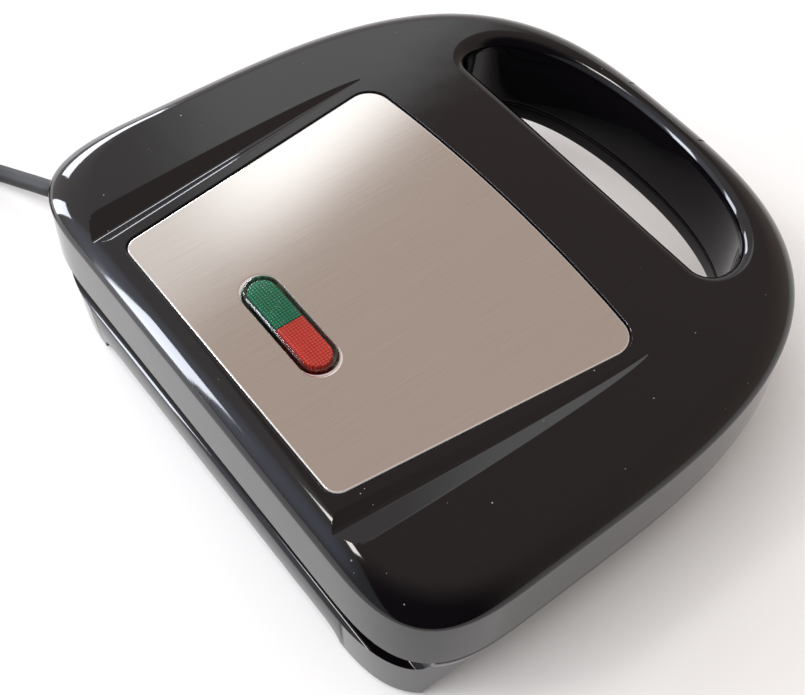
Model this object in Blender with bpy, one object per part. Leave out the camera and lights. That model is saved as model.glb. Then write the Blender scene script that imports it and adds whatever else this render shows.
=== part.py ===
# Sandwich toaster, closed and latched, standing on its feet.
# Metres, +Z up. Origin: centre of the footprint, on the surface it stands on.
# The handle and the latch are at the front (-Y), the hinge is at the back (+Y).

import math

import bmesh
import bpy
from mathutils import Matrix, Vector

# Overall shape of the two housings
BODY_WIDTH = 0.2352          # across the widest place, left to right
BODY_DEPTH = 0.2186          # hinge edge to handle front
BASE_ROOM = 0.0051           # free height between the base's floor and the lower reflector
LID_ROOM = 0.0007            # and between the upper reflector and the lamp holder
WIDEST_FROM_BACK = 0.067     # where the outline starts to draw in towards the handle
FRONT_POWER = 3.0            # fullness of the handle's bow
CORNER_REACH = 0.0485        # size of the back corners
CORNER_POWER = 3.4           # fullness of the back corners
RIM_RADIUS = 0.008           # rounding between the lid's wall and its top
WALL_DRAFT = 0.0008          # lean of the lid's wall
WALL = 0.0025                # thickness of the moulded walls
SEAM_GAP = 0.0006            # between the two housings
SKIRT_DEPTH = 0.0012         # how far the decks lie inside the housings' edges
FIT_GAP = 0.0003             # between seated pieces
RUN_GAP = 0.0005             # beside pieces that move

# Handle
SLOT_END_FROM_SIDE = 0.0484
SLOT_INNER_FROM_FRONT = 0.0531
SLOT_END_FROM_FRONT = 0.0441
HANDLE_BAR = 0.0133          # front of the handle to the finger slot
SLOT_POWER = 2.15
SLOT_CORNER = 0.0075
SLOT_EDGE_RADIUS = 0.0036
SLOT_DRAFT = 0.0006
HANDLE_BASE_HEIGHT = 0.0080  # depth of the base's half of the handle and of its rim band

# Base
BASE_SIDE_INSET = 0.0025      # tub wall inside the rim band, at the sides
BASE_BACK_INSET = 0.0002
BASE_BOTTOM = 0.010          # height of the tub's underside
BASE_DRAFT = 0.0012
TUB_FRONT_FROM_SLOT = 0.0035
TUB_FRONT_POWER = 4.2
FOOT_CLEAR = 0.0015          # rubber pads stand out this far below the moulded feet
FOOT_LENGTH_X = 0.0385
FOOT_LENGTH_Y = 0.026
ARCH_RADIUS = 0.008
PAD_RADIUS = 0.0065
PAD_THICKNESS = 0.0035
REBATE_DEPTH = 0.013         # recess along the back that the open lid's wall swings into
REBATE_DROP = 0.011
SHOULDER_RADIUS = 0.008

# Hinge
HINGE_FROM_SIDE = 0.0426
HINGE_FROM_BACK = 0.0095
HINGE_ABOVE_SEAM = 0.001
HINGE_PIN_RADIUS = 0.002
HINGE_EAR_RADIUS = 0.006
HINGE_EAR_WIDTH = 0.010
HINGE_LUG_THICKNESS = 0.0035
HINGE_LUG_RADIUS = 0.0054
HINGE_CLEARANCE = 0.00008    # running clearance round the pins

# Steel panel
PANEL_BACK_FROM_SIDE = 0.0570
PANEL_FRONT_FROM_SIDE = 0.0430
PANEL_LENGTH = 0.115
PANEL_BOW = 0.0046
PANEL_CORNER = 0.009
PANEL_BACK_CORNER = 0.0055
PANEL_FROM_BACK = 0.0122
PANEL_THICKNESS = 0.0008
PANEL_RECESS = 0.0013
PANEL_EDGE_GAP = 0.0006

# Scooped grooves beside the panel
GROOVE_RIDGE = 0.0045        # panel edge to the groove's inner lip
GROOVE_WIDTH = 0.0148        # between the lips where it runs out through the rim
GROOVE_DEPTH = 0.0052
GROOVE_LENGTH = 0.127        # front tip to the lid's back

# Indicator window
LENS_FROM_PANEL_BACK = 0.0263
LENS_LENGTH = 0.044
LENS_WIDTH = 0.0132
LENS_PROUD = 0.0026
LENS_WALL = 0.0011
LENS_DROP = 0.0006           # the window's lower edge under the lid's ceiling
LAMP_RADIUS = 0.0019
LAMP_LENGTH = 0.013
HOLDER_WALL = 0.0012

# Cooking plates
PLATE_FROM_SIDE = 0.0146
PLATE_FROM_BACK = 0.0253
PLATE_FROM_FRONT = 0.0633
PLATE_CORNER = 0.020
PLATE_EDGE_GAP = 0.0008
PLATE_THICKNESS = 0.0020
PLATE_RIM = 0.0035           # height of the turned rim on the plate's back
PLATE_SEAL_GAP = 0.0003      # half the gap between the closed plates
POCKET_SIDE_MARGIN = 0.009   # plate edge to the field of pockets
POCKET_END_MARGIN = 0.011
POCKET_DEPTH = 0.0105
POCKET_SLOPE = 0.0065        # how much a pocket's wall leans over its depth
POCKET_CORNER = 0.009
CUT_RIDGE = 0.0050           # width of the ridge that cuts and seals the bread
GUTTER_WIDTH = 0.0030
GUTTER_DEPTH = 0.0008

# Heating
HEATER_RADIUS = 0.0032
HEATER_SIDE_MARGIN = 0.041   # plate edge to the heater's loop
HEATER_FRONT_MARGIN = 0.026
HEATER_BACK_MARGIN = 0.020
HEATER_TAIL_SPACING = 0.028
HEATER_TAIL_MARGIN = 0.005
HEATER_BEND = 0.014
REFLECTOR_THICKNESS = 0.0006
REFLECTOR_SIDE_MARGIN = 0.015
REFLECTOR_FRONT_MARGIN = 0.013
REFLECTOR_BACK_MARGIN = 0.005
REFLECTOR_CORNER = 0.016
THERMOSTAT_RADIUS = 0.0085
THERMOSTAT_HEIGHT = 0.0055
FUSE_RADIUS = 0.0019
FUSE_LENGTH = 0.011

# Screws that hold the plates to the housings
SCREW_BACK_SPACING = 0.090
SCREW_BACK_MARGIN = 0.0055   # plate edge to the back screws
SCREW_FRONT_SPACING = 0.060
SCREW_FRONT_MARGIN = 0.038
SCREW_HEAD_RADIUS = 0.0034
SCREW_HEAD_HEIGHT = 0.0019
SCREW_RADIUS = 0.0016
SCREW_LENGTH = 0.013
POST_RADIUS = 0.0042

# Latch
LATCH_WIDTH = 0.038
LATCH_THICKNESS = 0.0032
LATCH_PIN_RADIUS = 0.0014
LATCH_PIN_FROM_FRONT = 0.0047
LATCH_PIN_BELOW_TOP = 0.010
LATCH_SUNK = 0.0004          # the clip's face behind the handle's front
LATCH_HOOK_REACH = 0.0046
LATCH_HOOK_THICKNESS = 0.0028
LATCH_PIN_OVERHANG = 0.0030
LATCH_DIP_ABOVE_HOOK = 0.0005
LATCH_DIP_HEIGHT = 0.0145
LATCH_DIP_DEPTH = 0.0014

# Mains lead
CORD_RADIUS = 0.0035
CORD_EXIT_FROM_BACK = 0.0273
CORD_EXIT_Z = 0.020
TERMINAL_FROM_LEAD = 0.030
TERMINAL_HEIGHT = 0.013
RELIEF_LENGTH = 0.0215
RELIEF_RADIUS = 0.0060
CORD_BEND = 5.8              # the relief curves back: y grows by this times the square of x
CORD_ROUTE = ((0.1460, 0.0890, 0.0176), (0.1580, 0.0928, 0.0132), (0.1720, 0.0976, 0.0086),
              (0.1880, 0.1049, 0.0056), (0.2050, 0.1125, 0.0051), (0.2200, 0.1180, 0.0051))
COIL_RADIUS = 0.040
COIL_TURN = 40               # degrees from the way the lead runs to the coil's middle
TIE_THICKNESS = 0.0005
TIE_WIDTH = 0.006
PLUG_LENGTH = 0.040
PLUG_WIDTH = 0.030
PLUG_HEIGHT = 0.0135
PLUG_PIN_SPACING = 0.019
PLUG_PIN_RADIUS = 0.0024
PLUG_PIN_LENGTH = 0.019

# Places worked out from the sizes above
BACK = BODY_DEPTH / 2
FRONT = -BODY_DEPTH / 2
WIDEST_Y = BACK - WIDEST_FROM_BACK
BASE_FLOOR = BASE_BOTTOM + WALL
PLATE_BACK_LEVEL = PLATE_SEAL_GAP + POCKET_DEPTH + PLATE_THICKNESS
HEATER_LEVEL = PLATE_BACK_LEVEL + FIT_GAP + HEATER_RADIUS
REFLECTOR_LEVEL = HEATER_LEVEL + HEATER_RADIUS + FIT_GAP
REFLECTOR_BACK = REFLECTOR_LEVEL + REFLECTOR_THICKNESS
HOLDER_DEPTH = 2 * LAMP_RADIUS + 2 * HOLDER_WALL
PARTING_HEIGHT = BASE_FLOOR + BASE_ROOM + REFLECTOR_BACK
LID_CEILING = PARTING_HEIGHT + REFLECTOR_BACK + LID_ROOM + HOLDER_DEPTH + FIT_GAP + LENS_DROP
LID_TOP = LID_CEILING + WALL + PANEL_RECESS
LID_BOTTOM = PARTING_HEIGHT + SEAM_GAP / 2
BASE_TOP = PARTING_HEIGHT - SEAM_GAP / 2
BAND_BOTTOM = BASE_TOP - HANDLE_BASE_HEIGHT
SLOT_HALF_WIDTH = BODY_WIDTH / 2 - SLOT_END_FROM_SIDE
SLOT_OUTER_Y = FRONT + HANDLE_BAR
SLOT_END_Y = FRONT + SLOT_END_FROM_FRONT
SLOT_INNER_Y = FRONT + SLOT_INNER_FROM_FRONT
TUB_FRONT = SLOT_INNER_Y + TUB_FRONT_FROM_SLOT
HINGE_X = BODY_WIDTH / 2 - HINGE_FROM_SIDE
HINGE_Y = BACK - HINGE_FROM_BACK
HINGE_Z = PARTING_HEIGHT + HINGE_ABOVE_SEAM
REBATE_Y = BACK - REBATE_DEPTH
REBATE_FLOOR = BASE_TOP - REBATE_DROP
PANEL_BACK_WIDTH = BODY_WIDTH - 2 * PANEL_BACK_FROM_SIDE
PANEL_FRONT_WIDTH = BODY_WIDTH - 2 * PANEL_FRONT_FROM_SIDE
PANEL_BACK_Y = BACK - PANEL_FROM_BACK
PANEL_TOP = LID_TOP - PANEL_RECESS + FIT_GAP + PANEL_THICKNESS
LENS_Y = PANEL_BACK_Y - LENS_FROM_PANEL_BACK
PLATE_WIDTH = BODY_WIDTH - 2 * PLATE_FROM_SIDE
PLATE_DEPTH = BODY_DEPTH - PLATE_FROM_BACK - PLATE_FROM_FRONT
PLATE_Y = BACK - PLATE_FROM_BACK - PLATE_DEPTH / 2
POCKET_FIELD_WIDTH = PLATE_WIDTH - 2 * POCKET_SIDE_MARGIN
POCKET_FIELD_DEPTH = PLATE_DEPTH - 2 * POCKET_END_MARGIN
HEATER_HALF_WIDTH = PLATE_WIDTH / 2 - HEATER_SIDE_MARGIN
HEATER_FRONT = PLATE_Y - PLATE_DEPTH / 2 + HEATER_FRONT_MARGIN
HEATER_BACK = PLATE_Y + PLATE_DEPTH / 2 - HEATER_BACK_MARGIN
HEATER_TAIL_X = HEATER_TAIL_SPACING / 2
HEATER_TAIL_Y = PLATE_Y + PLATE_DEPTH / 2 - HEATER_TAIL_MARGIN
REFLECTOR_WIDTH = PLATE_WIDTH - 2 * REFLECTOR_SIDE_MARGIN
REFLECTOR_DEPTH = PLATE_DEPTH - REFLECTOR_FRONT_MARGIN - REFLECTOR_BACK_MARGIN
REFLECTOR_Y = PLATE_Y + (REFLECTOR_FRONT_MARGIN - REFLECTOR_BACK_MARGIN) / 2
SCREW_BACK_Y = PLATE_Y + PLATE_DEPTH / 2 - SCREW_BACK_MARGIN
SCREW_FRONT_Y = PLATE_Y - PLATE_DEPTH / 2 + SCREW_FRONT_MARGIN
SCREW_PLACES = ((SCREW_BACK_SPACING / 2, SCREW_BACK_Y), (-SCREW_BACK_SPACING / 2, SCREW_BACK_Y),
                (SCREW_FRONT_SPACING / 2, SCREW_FRONT_Y), (-SCREW_FRONT_SPACING / 2, SCREW_FRONT_Y))
CORD_EXIT_Y = BACK - CORD_EXIT_FROM_BACK
LATCH_PIN_HEIGHT = LID_TOP - LATCH_PIN_BELOW_TOP
LATCH_PIN_Y = FRONT + LATCH_PIN_FROM_FRONT
LATCH_BARREL = LATCH_PIN_FROM_FRONT - LATCH_SUNK
LATCH_INNER_Y = FRONT + LATCH_SUNK + LATCH_THICKNESS
OVERCUT = 0.002


# Scene and object helpers

for old in list(bpy.data.objects):
    bpy.data.objects.remove(old, do_unlink=True)


def material(name, colour, roughness, metallic=0.0):
    mat = bpy.data.materials.new(name)
    mat.use_nodes = True
    shader = mat.node_tree.nodes["Principled BSDF"]
    shader.inputs["Base Color"].default_value = (*colour, 1.0)
    shader.inputs["Roughness"].default_value = roughness
    shader.inputs["Metallic"].default_value = metallic
    return mat


def add_object(name, bm, mat=None, origin=(0, 0, 0), smooth=True):
    bmesh.ops.recalc_face_normals(bm, faces=bm.faces)
    bm.transform(Matrix.Translation(-Vector(origin)))
    mesh = bpy.data.meshes.new(name)
    bm.to_mesh(mesh)
    bm.free()
    if mat:
        mesh.materials.append(mat)
    if smooth:
        mesh.shade_smooth()
        mesh.set_sharp_from_angle(angle=math.radians(35))
    obj = bpy.data.objects.new(name, mesh)
    obj.location = origin
    bpy.context.collection.objects.link(obj)
    return obj


def cutter(name, bm):
    obj = add_object(name, bm, smooth=False)
    obj.hide_render = True
    obj.display_type = "WIRE"
    return obj


def boolean(target, tool, operation="DIFFERENCE"):
    mod = target.modifiers.new(tool.name, "BOOLEAN")
    mod.object = tool
    mod.operation = operation
    mod.solver = "EXACT"
    return mod


# Outlines, each a closed list of (x, y) points that runs anticlockwise

def mirrored(half):
    """Close an outline from its right half, which runs from the front to the back."""
    left = [(-x, y) for x, y in reversed(half) if x > 1e-6]
    return half + left


def body_outline(side=0.0, front=0.0, back=0.0):
    """Outline of the housings, drawn in by the given amounts."""
    a = BODY_WIDTH / 2 - side
    b = WIDEST_Y - FRONT - front
    yb = BACK - back
    half = []
    for i in range(14):
        t = (i / 13) ** 1.25 * math.pi / 2
        half.append((a * math.sin(t) ** (2 / FRONT_POWER),
                     WIDEST_Y - b * max(math.cos(t), 0.0) ** (2 / FRONT_POWER)))
    reach = CORNER_REACH - back
    for i in range(9):
        t = i / 8 * math.pi / 2
        half.append((a - reach + reach * max(math.cos(t), 0.0) ** (2 / CORNER_POWER),
                     yb - reach + reach * math.sin(t) ** (2 / CORNER_POWER)))
    return mirrored(half)


def inset_outline(amount):
    return body_outline(amount, amount, amount)


def tub_outline(amount=0.0):
    """Outline of the base's tub, which ends in front at the finger slot."""
    a = BODY_WIDTH / 2 - BASE_SIDE_INSET - amount
    front = TUB_FRONT + amount
    b = WIDEST_Y - front
    yb = BACK - BASE_BACK_INSET - amount
    half = []
    for i in range(10):
        t = (i / 9) ** 1.25 * math.pi / 2
        half.append((a * math.sin(t) ** (2 / TUB_FRONT_POWER),
                     WIDEST_Y - b * max(math.cos(t), 0.0) ** (2 / TUB_FRONT_POWER)))
    reach = CORNER_REACH - amount
    for i in range(9):
        t = i / 8 * math.pi / 2
        half.append((a - reach + reach * max(math.cos(t), 0.0) ** (2 / CORNER_POWER),
                     yb - reach + reach * math.sin(t) ** (2 / CORNER_POWER)))
    return mirrored(half)


def slot_outline(grow=0.0):
    """Half-moon outline of the finger slot, made larger by grow."""
    a = SLOT_HALF_WIDTH + grow
    b = SLOT_END_Y - SLOT_OUTER_Y + grow
    h = SLOT_INNER_Y - SLOT_END_Y + grow
    corner = SLOT_CORNER + grow
    half = []
    for i in range(11):
        t = math.pi / 2 * i / 10
        half.append((a * math.sin(t) ** (2 / SLOT_POWER),
                     SLOT_END_Y - b * max(math.cos(t), 0.0) ** (2 / SLOT_POWER)))
    for i in range(1, 5):
        t = math.pi / 2 * i / 4
        half.append((a - corner + corner * math.cos(t), SLOT_END_Y + h * math.sin(t)))
    return mirrored(half)


def capsule(length, width, steps=6):
    r = width / 2
    half = []
    for i in range(2 * steps + 1):
        t = -math.pi / 2 + math.pi * i / (2 * steps)
        half.append((length / 2 - r + r * math.cos(t), r * math.sin(t)))
    return half + [(-x, y) for x, y in reversed(half)]


def rounded(corners, radii, steps=5):
    """Round the corners of a polygon that runs anticlockwise."""
    pts = []
    n = len(corners)
    for i, (corner, radius) in enumerate(zip(corners, radii)):
        p = Vector(corner)
        if radius == 0:
            pts.append((p.x, p.y))
            continue
        u = (Vector(corners[i - 1]) - p).normalized()
        v = (Vector(corners[(i + 1) % n]) - p).normalized()
        half_angle = u.angle(v) / 2
        centre = p + (u + v).normalized() * (radius / math.sin(half_angle))
        start = p + u * (radius / math.tan(half_angle)) - centre
        sweep = math.pi - 2 * half_angle
        for k in range(steps + 1):
            q = centre + Matrix.Rotation(sweep * k / steps, 2) @ start
            pts.append((q.x, q.y))
    return pts


def rounded_box(width, depth, radius, centre=(0, 0), steps=5):
    x, y = width / 2, depth / 2
    pts = rounded([(x, -y), (x, y), (-x, y), (-x, -y)], [radius] * 4, steps)
    return [(px + centre[0], py + centre[1]) for px, py in pts]


def circle(radius, centre=(0, 0), steps=24):
    return [(centre[0] + radius * math.cos(2 * math.pi * i / steps),
             centre[1] + radius * math.sin(2 * math.pi * i / steps)) for i in range(steps)]


def panel_outline(grow=0.0, steps=5):
    """The steel panel: a trapezoid with a bowed front edge."""
    back = PANEL_BACK_WIDTH / 2 + grow
    front = PANEL_FRONT_WIDTH / 2 + grow
    yb = PANEL_BACK_Y + grow
    yf = PANEL_BACK_Y - PANEL_LENGTH - grow
    corners = [(-front, yf)]
    for share in (-0.66, -0.33, 0.0, 0.33, 0.66):
        corners.append((share * front, yf - PANEL_BOW * (1 - share * share)))
    corners += [(front, yf), (back, yb), (-back, yb)]
    radius = PANEL_CORNER + grow
    radii = [radius] + [0] * 5 + [radius] + [PANEL_BACK_CORNER + grow] * 2
    return rounded(corners, radii, steps)


def panel_half_width(y):
    share = (PANEL_BACK_Y - y) / PANEL_LENGTH
    return (PANEL_BACK_WIDTH + (PANEL_FRONT_WIDTH - PANEL_BACK_WIDTH) * share) / 2


# Solids

def loft(bm, loops, cap=True):
    """Skin closed loops of (x, y, z) points, all with the same number of points."""
    rows = [[bm.verts.new(p) for p in loop] for loop in loops]
    n = len(rows[0])
    for low, high in zip(rows, rows[1:]):
        for i in range(n):
            j = (i + 1) % n
            bm.faces.new((low[i], low[j], high[j], high[i]))
    if cap:
        bm.faces.new(list(reversed(rows[0])))
        bm.faces.new(rows[-1])
    return rows


def at_height(outline, z):
    return [(x, y, z) for x, y in outline]


def prism(outline, z0, z1):
    bm = bmesh.new()
    loft(bm, [at_height(outline, z0), at_height(outline, z1)])
    return bm


def prism_along_x(profile, x0, x1):
    """Extrude a (y, z) profile along X."""
    bm = bmesh.new()
    loft(bm, [[(x0, y, z) for y, z in profile], [(x1, y, z) for y, z in profile]])
    return bm


def prism_along_y(profile, y0, y1):
    """Extrude an (x, z) profile along Y."""
    bm = bmesh.new()
    loft(bm, [[(x, y0, z) for x, z in profile], [(x, y1, z) for x, z in profile]])
    return bm


def tube_along(path, radii, steps=16):
    """A closed round tube through the path's points, with a radius at each."""
    bm = bmesh.new()
    pts = [Vector(p) for p in path]
    loops = []
    side = Vector((0, 0, 1))
    for i, (p, r) in enumerate(zip(pts, radii)):
        ahead = pts[min(i + 1, len(pts) - 1)] - pts[max(i - 1, 0)]
        ahead.normalize()
        across = ahead.cross(side).normalized()
        up = across.cross(ahead)
        loops.append([tuple(p + across * (r * math.cos(2 * math.pi * k / steps))
                            + up * (r * math.sin(2 * math.pi * k / steps)))
                      for k in range(steps)])
    loft(bm, loops)
    return bm


def smooth_path(points, step):
    """Points about step apart on a smooth curve through the given points."""
    pts = [Vector(p) for p in points]
    pts = [pts[0] * 2 - pts[1]] + pts + [pts[-1] * 2 - pts[-2]]
    out = [pts[1]]
    for a, b, c, d in zip(pts, pts[1:], pts[2:], pts[3:]):
        pieces = max(1, round((c - b).length / step))
        for k in range(1, pieces + 1):
            t = k / pieces
            out.append(0.5 * (2 * b + (c - a) * t + (2 * a - 5 * b + 4 * c - d) * t * t
                              + (3 * b - a - 3 * c + d) * t ** 3))
    return out


def curve_tube(name, points, radius, mat, resolution):
    """A round tube on a curve, with filled ends."""
    curve = bpy.data.curves.new(name, "CURVE")
    curve.dimensions = "3D"
    curve.bevel_depth = radius
    curve.bevel_resolution = resolution
    curve.use_fill_caps = True
    spline = curve.splines.new("POLY")
    spline.points.add(len(points) - 1)
    for point, place in zip(spline.points, points):
        point.co = (*place, 1.0)
    curve.materials.append(mat)
    obj = bpy.data.objects.new(name, curve)
    bpy.context.collection.objects.link(obj)
    return obj


# Materials

BLACK_GLOSS = material("gloss_black_moulding", (0.018, 0.016, 0.018), 0.16)
BLACK_INNER = material("black_clip_moulding", (0.022, 0.020, 0.022), 0.28)
STEEL = material("brushed_stainless", (0.56, 0.52, 0.48), 0.32, 1.0)
NON_STICK = material("non_stick_coating", (0.030, 0.030, 0.032), 0.42)
ALUMINIUM = material("aluminium_sheet", (0.72, 0.73, 0.74), 0.35, 1.0)
HEATER_METAL = material("heater_sheath", (0.35, 0.33, 0.31), 0.45, 1.0)
ZINC = material("zinc_plated_steel", (0.62, 0.63, 0.65), 0.30, 1.0)
GREEN = material("green_lens", (0.01, 0.25, 0.15), 0.12)
RED = material("red_lens", (0.62, 0.05, 0.03), 0.12)
CLEAR = material("clear_lens", (0.80, 0.82, 0.80), 0.05)
LAMP_GLASS = material("lamp_glass", (0.75, 0.72, 0.66), 0.08)
CREAM = material("heat_resistant_moulding", (0.62, 0.58, 0.48), 0.55)
RUBBER = material("black_rubber", (0.02, 0.02, 0.02), 0.75)
CORD_PVC = material("black_cord_sheath", (0.015, 0.015, 0.016), 0.45)


# Grooves beside the panel

def groove_sections(grow, lift):
    """Cross-sections of one groove from its front tip out through the back rim."""
    y_tip = BACK - GROOVE_LENGTH
    loops = []
    for share in (0.01, 0.05, 0.13, 0.24, 0.38, 0.54, 0.7, 0.84, 0.93, 1.0 + OVERCUT / GROOVE_LENGTH):
        y = y_tip + GROOVE_LENGTH * share
        width = GROOVE_WIDTH * share ** 0.62
        deep = GROOVE_DEPTH * min(1.0, 0.05 + share / 0.8)
        lip = panel_half_width(y) + GROOVE_RIDGE
        low = lip + width * (0.54 - 0.14 * share)
        floor = min(0.0008, width / 8)
        deep += grow * 1.6
        lip -= grow
        outer = lip + width + 2 * grow
        loops.append([(lip, y, LID_TOP + lift), (lip, y, LID_TOP),
                      (low - floor, y, LID_TOP - deep * 0.94), (low + floor, y, LID_TOP - deep),
                      (outer, y, LID_TOP), (outer, y, LID_TOP + lift)])
    return loops


def groove_solid(side, grow=0.0, lift=OVERCUT):
    bm = bmesh.new()
    loops = [[(side * x, y, z) for x, y, z in loop] for loop in groove_sections(grow, lift)]
    loft(bm, loops)
    return bm


# Finger slot, cut through both halves of the handle

def slot_cutter(name, z0, z1, edge_at_top):
    """Cutter for the slot, flared by a rounded edge at its outer end."""
    bm = bmesh.new()
    levels = []
    span = z1 - z0
    arc = [(SLOT_EDGE_RADIUS * (1 - math.cos(a)), SLOT_EDGE_RADIUS * (1 - math.sin(a)))
           for a in (0.0, math.pi / 6, math.pi / 3, math.pi / 2)]
    if edge_at_top:
        levels.append((z0 - OVERCUT, -SLOT_DRAFT))
        levels += [(z1 - drop, out) for out, drop in arc]
        levels.append((z1 + OVERCUT, SLOT_EDGE_RADIUS))
    else:
        small = 0.5
        levels.append((z0 - OVERCUT, SLOT_EDGE_RADIUS * small))
        levels += [(z0 + drop * small, out * small) for out, drop in reversed(arc)]
        levels.append((z0 + span + OVERCUT, 0.0))
    loft(bm, [at_height(slot_outline(grow), z) for z, grow in levels])
    return cutter(name, bm)


# Lid housing: a moulded shell with the handle's upper half, the panel's recess and the grooves

def lid_outer():
    bm = bmesh.new()
    wall_top = LID_TOP - RIM_RADIUS
    loops = [at_height(inset_outline(0.0006), LID_BOTTOM),
             at_height(inset_outline(0.0), LID_BOTTOM + 0.0006),
             at_height(inset_outline(WALL_DRAFT), wall_top)]
    for i in range(1, 6):
        a = math.pi / 2 * i / 5
        loops.append(at_height(inset_outline(WALL_DRAFT + RIM_RADIUS * (1 - math.cos(a))),
                               wall_top + RIM_RADIUS * math.sin(a)))
    loft(bm, loops)
    return bm


def latch_recess_profile(front, back):
    """Side view of the latch's recess in the handle, open to the front and below."""
    top = LATCH_PIN_HEIGHT
    reach = LATCH_BARREL + RUN_GAP
    pts = [(front, BAND_BOTTOM - OVERCUT), (back, BAND_BOTTOM - OVERCUT)]
    for i in range(7):
        a = math.pi / 2 * i / 6
        pts.append((LATCH_PIN_Y + (back - LATCH_PIN_Y) * math.cos(a), top + reach * math.sin(a)))
    pts.append((front, top + reach))
    return pts


def make_lid():
    lid = add_object("lid_housing", lid_outer(), BLACK_GLOSS, origin=(0, HINGE_Y, HINGE_Z))

    cavity = bmesh.new()
    loft(cavity, [at_height(inset_outline(WALL), LID_BOTTOM + SKIRT_DEPTH + WALL),
                  at_height(inset_outline(WALL + WALL_DRAFT), LID_CEILING - RIM_RADIUS / 2),
                  at_height(inset_outline(WALL + WALL_DRAFT + RIM_RADIUS / 2), LID_CEILING)])
    hollow = cutter("lid_hollow", cavity)

    keep = cutter("lid_slot_wall", prism(slot_outline(WALL + SLOT_EDGE_RADIUS * 0.5),
                                         LID_BOTTOM, LID_TOP))
    boolean(hollow, keep)
    block = LATCH_WIDTH / 2 + LATCH_PIN_OVERHANG + WALL
    keep = cutter("lid_latch_block", prism([(-block, FRONT), (block, FRONT),
                                            (block, SLOT_INNER_Y), (-block, SLOT_INNER_Y)],
                                           LID_BOTTOM, LID_TOP))
    boolean(hollow, keep)
    for side, name in ((1, "right"), (-1, "left")):
        under = cutter("lid_groove_wall_" + name, groove_solid(side, WALL))
        boolean(hollow, under)
        lug_box = lug_prisms(side)
        for k, bm in enumerate(lug_box):
            boolean(hollow, cutter("lid_lug_keep_%s_%d" % (name, k), bm))
    for i, (x, y) in enumerate(SCREW_PLACES):
        boss = cutter("lid_boss_%d" % (i + 1), prism(circle(POST_RADIUS + 0.0012, (x, y), 12),
                                                     LID_BOTTOM + REFLECTOR_BACK
                                                     + FIT_GAP, LID_TOP))
        boolean(hollow, boss)
    boolean(lid, hollow)

    opening = rounded_box(PLATE_WIDTH + 2 * PLATE_EDGE_GAP, PLATE_DEPTH + 2 * PLATE_EDGE_GAP,
                          PLATE_CORNER + PLATE_EDGE_GAP, (0, PLATE_Y), 6)
    boolean(lid, cutter("lid_plate_opening", prism(opening, LID_BOTTOM - OVERCUT,
                                                   LID_BOTTOM + SKIRT_DEPTH + WALL + OVERCUT)))
    skirt = cutter("lid_skirt", prism(inset_outline(WALL), LID_BOTTOM - OVERCUT,
                                      LID_BOTTOM + SKIRT_DEPTH))
    island = prism(slot_outline(WALL), LID_BOTTOM - 2 * OVERCUT, LID_BOTTOM + OVERCUT)
    boolean(skirt, cutter("lid_skirt_slot_wall", island))
    for side, name in ((1, "right"), (-1, "left")):
        for k, bm in enumerate(lug_prisms(side)):
            boolean(skirt, cutter("lid_lug_skirt_%s_%d" % (name, k), bm))
    boolean(lid, skirt)

    for side, name in ((1, "right"), (-1, "left")):
        for k, bm in enumerate(lug_prisms(side)):
            boolean(lid, cutter("lid_lug_%s_%d" % (name, k), bm), "UNION")
        half = HINGE_EAR_WIDTH / 2 + RUN_GAP
        x = side * HINGE_X
        bay = prism([(x - half, HINGE_Y - HINGE_EAR_RADIUS - 0.006),
                     (x + half, HINGE_Y - HINGE_EAR_RADIUS - 0.006),
                     (x + half, HINGE_Y + HINGE_EAR_RADIUS + RUN_GAP),
                     (x - half, HINGE_Y + HINGE_EAR_RADIUS + RUN_GAP)],
                    LID_BOTTOM - HINGE_LUG_RADIUS * 2, HINGE_Z + HINGE_EAR_RADIUS + 0.001)
        boolean(lid, cutter("lid_hinge_bay_" + name, bay))
        reach = HINGE_EAR_WIDTH / 2 + RUN_GAP + HINGE_LUG_THICKNESS + OVERCUT
        hole = prism_along_x([(HINGE_Y + y, HINGE_Z + z)
                              for y, z in circle(HINGE_PIN_RADIUS + FIT_GAP, steps=20)],
                             x - reach, x + reach)
        boolean(lid, cutter("lid_pin_hole_" + name, hole))

    boolean(lid, slot_cutter("lid_slot", LID_BOTTOM, LID_TOP, True))
    boolean(lid, cutter("lid_panel_recess", prism(panel_outline(PANEL_EDGE_GAP),
                                                  LID_TOP - PANEL_RECESS, LID_TOP + OVERCUT)))
    for side, name in ((1, "right"), (-1, "left")):
        boolean(lid, cutter("lid_groove_" + name, groove_solid(side)))
    window = [(x, y + LENS_Y) for x, y in capsule(LENS_LENGTH + 2 * FIT_GAP,
                                                   LENS_WIDTH + 2 * FIT_GAP)]
    boolean(lid, cutter("lid_window", prism(window, LID_CEILING - OVERCUT, LID_TOP)))
    for i, (x, y) in enumerate(SCREW_PLACES):
        bm = bmesh.new()
        head = SCREW_HEAD_RADIUS + FIT_GAP
        floor = LID_TOP - PANEL_RECESS
        depth = SCREW_HEAD_HEIGHT + FIT_GAP
        loft(bm, [at_height(circle(SCREW_RADIUS + FIT_GAP, (x, y), 12), LID_BOTTOM),
                  at_height(circle(SCREW_RADIUS + FIT_GAP, (x, y), 12), floor - depth),
                  at_height(circle(head, (x, y), 12), floor - depth),
                  at_height(circle(head, (x, y), 12), LID_TOP + OVERCUT)])
        boolean(lid, cutter("lid_screw_hole_%d" % (i + 1), bm))

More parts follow.
